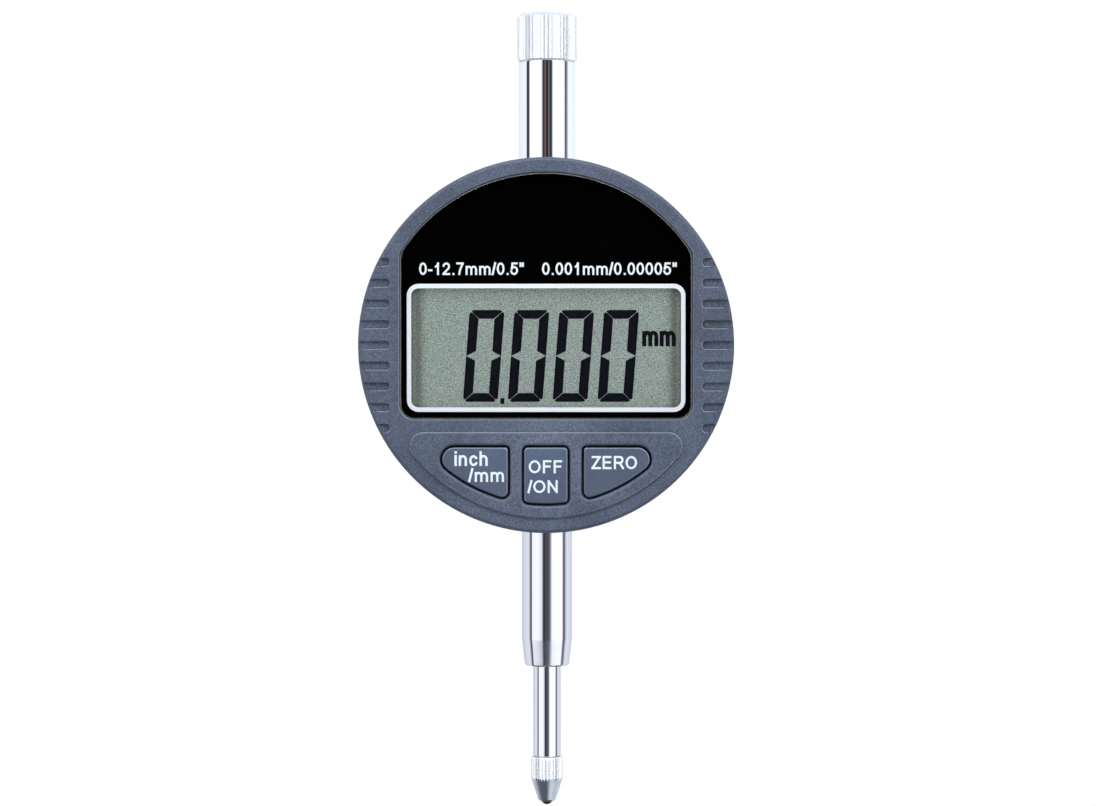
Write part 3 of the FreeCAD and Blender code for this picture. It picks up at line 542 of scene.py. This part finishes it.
def display_ground(name, colour, half_width, top):
    """The clear ground of the display: grey-green with greener and pinker clouds and fine specks, darker
    at its ends and paler just below its top."""
    material, sheet = new_material(name)
    red, green, blue = colour
    end_shade_reach, top_light_reach = 3 * MM, 2.4 * MM
    specks = sheet.noise(0.17 * MM, 1.0)
    clouds = sheet.noise(1.1 * MM, 4.0)
    greener = (red * 0.98, green * 1.01, blue * 0.97)
    pinker = (red * 1.05, green * 0.99, blue * 1.03)
    base = sheet.mix(sheet.ramp(clouds, (0.38, 0), (0.62, 1)), greener, pinker)
    inward = half_width - sheet.maths("ABSOLUTE", sheet.part("X")) + (clouds - 0.5) * (0.4 * MM)
    for layer in (
        sheet.ramp(specks, (0.3, 0.42), (0.7, 1.61)),
        # painted shade: the shadow of the window recess at both ends
        sheet.ramp(
            inward / end_shade_reach, (0.0, (0.80, 0.75, 0.65)), (0.15, (0.72, 0.69, 0.60)),
            (0.27, (0.44, 0.44, 0.40)), (0.42, (0.47, 0.48, 0.45)), (0.62, (0.82, 0.82, 0.80)), (0.85, 1),
        ),
        # painted light just below the top, which takes back most of the mask's shadow there
        sheet.ramp(
            (top - sheet.part("Z")) / top_light_reach, (0.0, 1.80), (0.10, 1.72), (0.17, 1.40), (0.24, 1.12),
            (0.32, 0.95), (0.48, 0.91), (0.75, 0.93), (1.0, 1.0),
        ),
    ):
        base = sheet.multiply_colours(base, layer)
    sheet.surface(base, 0.45)
    return material


def flat_ink(name, colour, roughness=0.5, shine=0.5):
    """A printed film with the faint unevenness of screen printing."""
    material, sheet = new_material(name)
    grain = sheet.noise(0.12 * MM)
    base = sheet.ramp(grain, (0.2, shaded(colour, 0.95)), (0.8, shaded(colour, 1.03)))
    sheet.surface(base, (grain - 0.5) * 0.1 + roughness, shine=shine)
    return material


# ---------------------------------------------------------------- modelling


def deselect():
    if bpy.context.mode != "OBJECT":
        bpy.ops.object.mode_set(mode="OBJECT")
    bpy.ops.object.select_all(action="DESELECT")


def only(piece):
    deselect()
    piece.select_set(True)
    bpy.context.view_layer.objects.active = piece


def settle(piece):
    """Puts a piece's place, turn and size into its mesh."""
    only(piece)
    bpy.ops.object.transform_apply(location=True, rotation=True, scale=True)
    return piece


def thicken(piece, thickness):
    """Gives a flat piece that faces the reader its thickness, towards the back."""
    only(piece)
    bpy.ops.object.mode_set(mode="EDIT")
    bpy.ops.mesh.select_all(action="SELECT")
    bpy.ops.mesh.remove_doubles(threshold=1e-7)
    bpy.ops.mesh.extrude_region_move(TRANSFORM_OT_translate={"value": (0, thickness, 0)})
    bpy.ops.mesh.select_all(action="SELECT")
    bpy.ops.mesh.normals_make_consistent(inside=False)
    bpy.ops.object.mode_set(mode="OBJECT")
    return piece


def upright_sheet(name, left, right, bottom, top, front):
    """A flat rectangle that faces the reader."""
    deselect()
    middle = ((left + right) / 2, front, (bottom + top) / 2)
    bpy.ops.mesh.primitive_plane_add(size=1, location=middle, rotation=(math.pi / 2, 0, 0))
    piece = bpy.context.object
    piece.name = name
    piece.scale = (right - left, top - bottom, 1)
    return settle(piece)


def select_near(piece, place, reach):
    """Selects the vertices within reach of a place, in edit mode."""
    bpy.ops.mesh.select_all(action="DESELECT")
    bpy.ops.object.mode_set(mode="OBJECT")
    for vertex in piece.data.vertices:
        vertex.select = (vertex.co - Vector(place)).length < reach
    bpy.ops.object.mode_set(mode="EDIT")


def trimmed_bar(name, corners, gap, front):
    """A bar of a digit, cut from a sheet along its edges. Every second edge, from the second, is a joint."""
    sides = [x for x, _ in corners]
    heights = [z for _, z in corners]
    bar = upright_sheet(name, min(sides), max(sides), min(heights), max(heights), front)
    bpy.ops.object.mode_set(mode="EDIT")
    for index, (x, z) in enumerate(corners):
        next_x, next_z = corners[(index + 1) % len(corners)]
        outward = Vector((next_z - z, 0, x - next_x)).normalized()
        inset = outward * (gap / 2 if index % 2 else 0)
        bpy.ops.mesh.select_all(action="SELECT")
        bpy.ops.mesh.bisect(plane_co=Vector((x, front, z)) - inset, plane_no=outward, clear_outer=True)
    bpy.ops.object.mode_set(mode="OBJECT")
    return bar


def join(pieces, name):
    deselect()
    for piece in pieces:
        piece.select_set(True)
    bpy.context.view_layer.objects.active = pieces[0]
    bpy.ops.object.join()
    pieces[0].name = name
    return pieces[0]


def pen_stroke(curve, points, width):
    """Adds a straight-ended stroke to a curve with a square pen, just in front of the strokes before it."""
    (x, z), (next_x, next_z) = points[:2]
    (before_x, before_z), (last_x, last_z) = points[-2:]
    start = Vector((x - next_x, z - next_z)).normalized() * width / 2
    end = Vector((last_x - before_x, last_z - before_z)).normalized() * width / 2
    line = [(x + start.x, z + start.y), *points[1:-1], (last_x + end.x, last_z + end.y)]
    step = len(curve.splines) * width * HAIR
    stroke = curve.splines.new("POLY")
    stroke.points.add(len(line) - 1)
    for point, (across, up) in zip(stroke.points, line):
        point.co = (across, -step, up, 1)
        point.tilt = math.radians(45)  # lays a flat side of the pen to the front


def lettering(name, words, box, front, thickness, weight=CAPITAL_WEIGHT, closer=0.0):
    """Words that face the reader and fill a box, as a thin film of ink. Weight is the width of a line, and
    closer what each letter gives up of its room, both in capital heights."""
    left, right, bottom, top = box
    letters = [LETTERS[letter] for letter in words]
    starts = [sum(letter.advance - closer for letter in letters[:index]) for index in range(len(letters))]
    low = min(start + letter.left for start, letter in zip(starts, letters))
    high = max(start + letter.right for start, letter in zip(starts, letters))
    foot = min(letter.bottom for letter in letters)
    across = (right - left) / (high - low)
    up = (top - bottom) / (max(letter.top for letter in letters) - foot)
    width = weight * up
    deselect()
    bpy.ops.curve.primitive_nurbs_path_add(location=(0, 0, 0))
    piece = bpy.context.object
    piece.name = name
    piece.data.splines.clear()
    piece.data.bevel_depth = width / math.sqrt(2)
    piece.data.bevel_resolution = 0
    piece.data.use_fill_caps = True
    for start, letter in zip(starts, letters):
        corner = Vector((
            left + (start + letter.left - low) * across + width / 2,
            bottom + (letter.bottom - foot) * up + width / 2,
        ))
        wide = max((letter.right - letter.left) * across - width, width * HAIR)
        tall = max((letter.top - letter.bottom) * up - width, width * HAIR)
        for stroke in letter.strokes:
            pen_stroke(piece.data, [(corner.x + x * wide, corner.y + z * tall) for x, z in stroke], width)
    bpy.ops.object.convert(target="MESH")
    piece = bpy.context.object
    bpy.ops.object.shade_flat()
    near, far = (pick(vertex.co.y for vertex in piece.data.vertices) for pick in (min, max))
    piece.scale.y = thickness / (far - near)
    piece.location.y = front - near * piece.scale.y
    return settle(piece)


def dress(piece, material, body):
    """Gives a piece its material, its body and its slot."""
    piece.data.materials.clear()
    piece.data.materials.append(material)
    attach(piece, body)


def case_centre():
    """The height of the middle of the round case."""
    low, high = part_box("front_case")
    return (low.z + high.z) / 2


def print_box(left, right, bottom, top):
    """A box of print in metres, from millimetres up from the case centre."""
    centre = case_centre()
    return left * MM, right * MM, centre + bottom * MM, centre + top * MM


# ---------------------------------------------------------------- operators


class INDICATOR_OT_finish_parts(bpy.types.Operator):
    """Give every carried part its finish"""

    bl_idname = "indicator.finish_parts"
    bl_label = "Finish the parts"

    def execute(self, context):
        colours = context.scene.indicator_finish
        printed = context.scene.indicator_print
        made = (*self.plastics(colours), *self.window(colours, printed), *self.metals(colours))
        finishes = {material.name: material for material in made}
        for node in frame["nodes"].values():
            slot = node.material_slots[0]
            slot.material = finishes[slot.material.name.removesuffix(PLAIN)]
        tube_finish = plated("bright_chrome_tube", colours.bright_chrome, 0.03)
        frame["nodes"]["top_tube"].material_slots[0].material = tube_finish
        return {"FINISHED"}

    def plastics(self, colours):
        """Each has its colour, the size and the depth of its grain, and its roughness."""
        centre = case_centre()
        # the painted edge highlight covers the face but stops short of the case rim
        rim_unhighlit = 1.0 * MM
        face = ((0, 0, centre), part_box("front_case")[1].x - rim_unhighlit)
        # painted sheen: the case is lighter round the keys, and the keys towards their tops
        case_sheen = ((0, 0, centre - 15.5 * MM), 13 * MM, (1.55, 1.5, 1.42))
        key_sheen = ((-3 * MM, 0, centre - 9 * MM), 14 * MM, (1.3, 1.5, 1.6))
        return (
            moulded(
                "case_plastic", colours.case, 0.22 * MM, 0.006 * MM, 0.45, spread=0.6, bevel=0.08 * MM,
                rub=(0.3 * MM, (0.62, 0.67, 0.76), *face), sheen=case_sheen,
            ),
            moulded(
                "key_plastic", colours.key, 0.22 * MM, 0.002 * MM, 0.34, spread=0.12, bevel=0.15 * MM,
                rub=(0.3 * MM, (0.85, 0.92, 1.0), *face), sheen=key_sheen,
            ),
            moulded("foam", (0.03, 0.03, 0.03), 0.4 * MM, 0.1 * MM, 0.9, spread=0.2),
            moulded("holder_plastic", (0.6, 0.6, 0.58), 0.3 * MM, 0.003 * MM, 0.45),
            moulded("zebra_rubber", (0.5, 0.3, 0.3), 0.2 * MM, 0.01 * MM, 0.7),
            moulded("plunger_plastic", (0.5, 0.5, 0.5), 0.2 * MM, 0.002 * MM, 0.5),
            moulded("board_laminate", (0.01, 0.12, 0.05), 0.3 * MM, 0.003 * MM, 0.35),
            moulded("chip_resin", (0.02, 0.02, 0.022), 0.1 * MM, 0.004 * MM, 0.6),
            moulded("stop_rubber", (0.02, 0.02, 0.02), 0.2 * MM, 0.01 * MM, 0.8),
        )

    def window(self, colours, printed):
        """The window, the display behind it and the mask between them."""
        half_width = printed.frame_half_width - printed.frame_line
        top = case_centre() + printed.frame_top - printed.frame_line
        return (
            clear_panel("window_acrylic"),
            flat_ink("mask_ink", (0.001, 0.001, 0.001), 0.6, 0.0),
            display_ground("display_film", colours.display, half_width, top),
            display_ground("display_glass", colours.display, half_width, top),
            plated("reflector_film", (0.7, 0.72, 0.7), 0.35),
        )

    def metals(self, colours):
        """Each has its colour and its roughness."""
        steel = (0.56, 0.57, 0.60)
        collar_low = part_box("spindle")[0].z - colours.collar
        return (
            plated("switch_metal", steel, 0.3),
            plated("screw_steel", (0.35, 0.35, 0.37), 0.3),
            plated("nickel", (0.66, 0.63, 0.57), 0.2),
            plated("bright_chrome", colours.ground_chrome, 0.055),
            plated("knurled_chrome", colours.bright_chrome, 0.31, scatter=0.38),
            plated("spring_steel", steel, 0.25),
            contact_steel("contact_steel", (0.63, 0.69, 0.79), (0.93, 0.95, 0.99), collar_low),
            turned("carbide", (0.035, 0.035, 0.04), 0.3, metallic=0.5),
            turned("bush_brass", (0.70, 0.52, 0.24)),
            turned("slider_aluminium", (0.72, 0.73, 0.74)),
            turned("cell_steel", (0.66, 0.66, 0.66)),
        )


class INDICATOR_OT_spring_travel(bpy.types.Operator):
    """Let the return spring close up against the upper bush as the spindle rises"""

    bl_idname = "indicator.spring_travel"
    bl_label = "Spring travel"

    def execute(self, context):
        travel = next(joint["range_m"][1] for joint in frame["joints"] if joint["name"] == "spindle_slide")
        low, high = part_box("return_spring")
        closed = 1 - travel / (high.z - low.z)
        spring = frame["nodes"]["return_spring"]
        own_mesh(spring)
        return {"FINISHED"}


class INDICATOR_OT_display_digits(bpy.types.Operator):
    """Lay the four digits, the decimal point and the unit on the display"""

    bl_idname = "indicator.display_digits"
    bl_label = "Display digits"

    def execute(self, context):
        sizes = context.scene.indicator_display
        film = context.scene.indicator_print.film
        ink = flat_ink("display_bars", sizes.ink, 0.4, 0.0)
        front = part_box("front_polariser")[0].y - film
        lean = math.tan(sizes.slant)
        width, height = sizes.digit_width, sizes.digit_height
        across, up, middle = sizes.bar_width, sizes.bar_height, height / 2
        inner = width - across
        shapes = (
            ((across, height - up), (inner, height - up), (width, height), (0, height)),
            ((width, middle), (width, height), (inner, height - up), (inner, middle + up / 2)),
            ((width, 0), (width, middle), (inner, middle - up / 2), (inner, up)),
        )
        half_turned = [[(width - x, height - z) for x, z in shape] for shape in shapes]
        left, foot = sizes.digit_left, case_centre() + sizes.digit_foot
        corner_reach = sizes.bar_gap * 1.6
        made = []
        for shape in (*shapes, *half_turned):
            corners = [(left + x + z * lean, foot + z) for x, z in shape]
            bar = trimmed_bar("bar", corners, sizes.bar_gap, front)
            bpy.ops.object.mode_set(mode="EDIT")
            for x, z in ((0, 0), (width, 0), (0, height), (width, height)):
                select_near(bar, (left + x + z * lean, front, foot + z), corner_reach)
                bpy.ops.mesh.bevel(affect="VERTICES", offset=sizes.corner, segments=3)
            bpy.ops.object.mode_set(mode="OBJECT")
            made.append(bar)
        first = join(made, "display_digit_1")
        thicken(first, film)
        digits = [first]
        for index in range(1, 4):
            only(first)
            bpy.ops.object.duplicate(linked=False)
            digit = bpy.context.object
            digit.name = f"display_digit_{index + 1}"
            digit.location.x = sizes.digit_pitch * index
            digits.append(settle(digit))
        point = thicken(upright_sheet("decimal_point", *print_box(*DECIMAL_POINT), front), film)
        unit_box = print_box(*DISPLAY_UNIT)
        unit = lettering("display_unit", "mm", unit_box, front, film, weight=0.195, closer=0.11)
        for piece in (*digits, point, unit):
            dress(piece, ink, "housing")
        return {"FINISHED"}


class INDICATOR_OT_window_print(bpy.types.Operator):
    """Print the white frame, the range and the resolution behind the window"""

    bl_idname = "indicator.window_print"
    bl_label = "Window print"

    def execute(self, context):
        sizes = context.scene.indicator_print
        ink = flat_ink("window_white_ink", sizes.window_white, 0.5, 0.0)
        centre = case_centre()
        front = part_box("printed_mask")[0].y - sizes.film
        half = sizes.frame_half_width
        ring = upright_sheet(
            "window_frame", -half, half, centre + sizes.frame_bottom, centre + sizes.frame_top, front
        )
        bpy.ops.object.mode_set(mode="EDIT")
        bpy.ops.mesh.select_all(action="SELECT")
        bpy.ops.mesh.bevel(affect="VERTICES", offset=sizes.frame_corner, segments=12)
        bpy.ops.mesh.select_all(action="SELECT")
        bpy.ops.mesh.inset(thickness=sizes.frame_line)
        bpy.ops.mesh.delete(type="FACE")
        bpy.ops.object.mode_set(mode="OBJECT")
        dress(thicken(ring, sizes.film), ink, "housing")
        for name, words, box in WINDOW_WORDS:
            piece = lettering(name, words, print_box(*box), front, sizes.film, weight=0.155)
            dress(piece, ink, "housing")
        return {"FINISHED"}


class INDICATOR_OT_key_legends(bpy.types.Operator):
    """Print the legends on the three keys"""

    bl_idname = "indicator.key_legends"
    bl_label = "Key legends"

    def execute(self, context):
        sizes = context.scene.indicator_print
        ink = flat_ink("key_white_ink", sizes.key_white)
        for name, words, body, box in KEY_LEGENDS:
            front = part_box(body.replace("button", "key"))[0].y - sizes.film
            dress(lettering(name, words, print_box(*box), front, sizes.film), ink, body)
        return {"FINISHED"}


class INDICATOR_OT_stage(bpy.types.Operator):
    """Set up the floor, the lamps, the world and the camera"""

    bl_idname = "indicator.stage"
    bl_label = "Stage"

    def execute(self, context):
        sizes = context.scene.indicator_stage
        centre = case_centre()
        self.camera(context, sizes, centre)
        self.world(context)
        self.soft_boxes(sizes, centre)
        self.studio_wall(sizes, centre)
        self.camera_card(sizes, centre)
        self.floor(sizes)
        return {"FINISHED"}

    def camera(self, context, sizes, centre):
        deselect()
        place = Vector((sizes.camera_side, -sizes.camera_distance, centre + sizes.camera_rise))
        aim = Vector((sizes.aim_side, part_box("front_case")[0].y, centre - sizes.aim_drop))
        turn = (aim - place).to_track_quat("-Z", "Y").to_euler()
        bpy.ops.object.camera_add(location=place, rotation=turn)
        camera = bpy.context.object
        camera.name = "camera"
        camera.data.lens = sizes.lens
        camera.data.sensor_width = 36.0
        camera.data.clip_start = 0.01
        context.scene.camera = camera

    def world(self, context):
        """A pale light on all sides. What is seen of it, by eye or through the window, is white, and gloss
        sees it with a dark floor and a bluish ceiling."""
        world = bpy.data.worlds.new("studio")
        context.scene.world = world
        sheet = Sheet(world)
        camera, glossy, through = (
            sheet.add("ShaderNodeLightPath", output=f"Is {kind} Ray")
            for kind in ("Camera", "Glossy", "Transmission")
        )
        shown = sheet.maths("MAXIMUM", sheet.maths("MAXIMUM", camera, glossy), through)
        light = {"Color": rgba((0.92, 0.96, 1.0)), "Strength": 0.28}
        up = sheet.part("Z", "Generated") * 0.5 + 0.5
        ends = sheet.ramp(up, (0.07, ROOM_DARK), (0.09, 1), (0.91, 1), (0.93, (0.84, 0.87, 0.99)))
        plain = sheet.add("ShaderNodeBackground", None, light)
        white = sheet.add("ShaderNodeBackground", None, {"Color": sheet.mix(glossy, 1, ends)})
        sheet.finish(sheet.blend(shown, plain, white), "ShaderNodeOutputWorld")

    def soft_boxes(self, sizes, centre):
        """Two tall soft boxes beside the camera and two above, one of them nearer the front."""
        distance = sizes.lamp_distance
        bottom, top = (distance * math.tan(math.radians(rise)) for rise in SIDE_BOX_RISE)
        for name, first, last in SIDE_BOXES:
            turn = math.radians((first + last) / 2)
            width = 2 * math.tan(math.radians((last - first) / 2)) * distance
            rise = centre + (bottom + top) / 2
            place = Vector((math.sin(turn) * distance, -math.cos(turn) * distance, rise))
            outward = Vector((place.x, place.y, 0))
            self.lamp(name, place, outward, (width, top - bottom), sizes.box_light * sizes.side_share)
        self.lamp(
            "top_soft_box", place=Vector((0, -0.1, 0.9)), outward=Vector((0, 0, 1)), size=(0.9, 0.7),
            light=sizes.box_light,
        )
        place = Vector((0, -0.30, centre + 0.34))
        front_box = self.lamp(
            "top_front_soft_box", place, outward=place - Vector((0, 0, centre)), size=(0.4, 0.16),
            light=sizes.box_light * sizes.front_share,
        )
        front_box.visible_glossy = True

    def lamp(self, name, place, outward, size, light):
        """A soft box that faces back along a direction, and that neither the camera nor a reflection sees."""
        width, height = size
        facing = outward.to_track_quat("Z", "Y").to_euler()
        bpy.ops.object.light_add(type="AREA", location=place, rotation=facing)
        lamp = bpy.context.object
        lamp.name = name
        lamp.data.shape = "RECTANGLE"
        lamp.data.size = width
        lamp.data.size_y = height
        lamp.data.energy = light * width * height * math.pi
        lamp.visible_camera = False
        lamp.visible_glossy = False
        return lamp

    def studio_wall(self, sizes, centre):
        """The room as polished metal sees it: bright boxes, with dark gaps at the camera and beyond them."""
        deselect()
        bpy.ops.mesh.primitive_cylinder_add(
            vertices=128, radius=sizes.lamp_distance, depth=3.2, end_fill_type="NOTHING",
            location=(0, 0, centre),
        )
        material, sheet = new_material("studio_wall")
        side, depth, height = (sheet.part(axis) for axis in "XYZ")
        turn = sheet.maths("ARCTAN2", side, 0 - depth) / (2 * math.pi) + 0.5
        high, level, low = (
            sheet.ramp(turn, *[(angle / 360 + 0.5, colour) for angle, colour in room])
            for room in (HIGH_ROOM, LEVEL_ROOM, LOW_ROOM)
        )
        smooth = {"interpolation_type": "SMOOTHSTEP"}
        lowness, footing = (
            sheet.add("ShaderNodeMapRange", smooth, {"Value": height, "From Min": first, "From Max": last})
            for first, last in (LOW_ROOM_RISE, ROOM_FOOT_RISE)
        )
        seen = sheet.mix(lowness, sheet.mix(height > 0, level, high), low)
        self.card(bpy.context.object, "studio_wall", material, sheet, sheet.mix(footing, seen, ROOM_DARK))

    def camera_card(self, sizes, centre):
        """A black card round the camera, which the window reflects."""
        deselect()
        width, height, rise = 0.135, 0.112, 0.016
        inside_wall = sizes.lamp_distance * 0.97
        aside = -sizes.camera_side * sizes.lamp_distance / sizes.camera_distance
        place = (aside, -inside_wall, centre + rise)
        bpy.ops.mesh.primitive_plane_add(size=1, location=place, rotation=(math.pi / 2, 0, 0))
        card = bpy.context.object
        card.scale = (width, height, 1)
        material, sheet = new_material("camera_card")
        self.card(card, "camera_card", material, sheet, 0.0005)

    def card(self, card, name, material, sheet, colour):
        """A glowing card that only reflections see."""
        card.name = name
        sheet.finish(sheet.add("ShaderNodeEmission", None, {"Color": colour_of(colour), "Strength": 1.0}))
        card.data.materials.append(material)
        card.visible_camera = False
        card.visible_diffuse = False
        card.visible_shadow = False
        card.visible_transmission = False

    def floor(self, sizes):
        """A white floor that fades out to its edge, and that is clear from below."""
        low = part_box("contact_ball")[0].z
        deselect()
        bpy.ops.mesh.primitive_circle_add(
            vertices=96, radius=FLOOR_RADIUS, fill_type="NGON", location=(0, 0, low - sizes.floor_drop),
        )
        floor = bpy.context.object
        floor.name = "floor"
        material, sheet = new_material("floor")
        here = sheet.add("ShaderNodeTexCoord", output="Object")
        reach = sheet.add("ShaderNodeVectorMath", {"operation": "LENGTH"}, {0: here}, "Value")
        fade = sheet.ramp(reach / FLOOR_RADIUS, (0.25, 0), (0.75, 1))
        below = sheet.add("ShaderNodeNewGeometry", output="Backfacing")
        paper = sheet.add("ShaderNodeBsdfDiffuse", None, {"Color": rgba(0.92)})
        clear = sheet.add("ShaderNodeBsdfTransparent")
        sheet.finish(sheet.blend(sheet.maths("MAXIMUM", below, fade), paper, clear))
        floor.data.materials.append(material)
        floor.visible_glossy = False


# ---------------------------------------------------------------- panel


class INDICATOR_PT_panel(bpy.types.Panel):
    """Lists the steps and the settings of the indicator"""

    bl_idname = "INDICATOR_PT_panel"
    bl_label = "Dial indicator"
    bl_space_type = "VIEW_3D"
    bl_region_type = "UI"
    bl_category = "Indicator"

    def draw(self, context):
        for operator in OPERATORS:
            self.layout.operator(operator.bl_idname)
        for name, group in SETTINGS.items():
            column = self.layout.column(heading=group.__doc__)
            settings = getattr(context.scene, name)
            for field in group.__annotations__:
                column.prop(settings, field)


SETTINGS = {
    "indicator_display": DisplaySettings,
    "indicator_print": PrintSettings,
    "indicator_finish": FinishSettings,
    "indicator_stage": StageSettings,
}
OPERATORS = (
    INDICATOR_OT_finish_parts,
    INDICATOR_OT_spring_travel,
    INDICATOR_OT_display_digits,
    INDICATOR_OT_window_print,
    INDICATOR_OT_key_legends,
    INDICATOR_OT_stage,
)


def register():
    for part in (*SETTINGS.values(), *OPERATORS, INDICATOR_PT_panel):
        bpy.utils.register_class(part)
    for name, group in SETTINGS.items():
        setattr(bpy.types.Scene, name, PointerProperty(type=group))


def unregister():
    for name in SETTINGS:
        delattr(bpy.types.Scene, name)
    for part in reversed((*SETTINGS.values(), *OPERATORS, INDICATOR_PT_panel)):
        bpy.utils.unregister_class(part)


def main():
    register()
    bpy.context.scene.view_settings.view_transform = "Standard"
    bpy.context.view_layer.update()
    for operator in OPERATORS:
        group, name = operator.bl_idname.split(".")
        getattr(getattr(bpy.ops, group), name)()


if __name__ == "__main__":
    main()
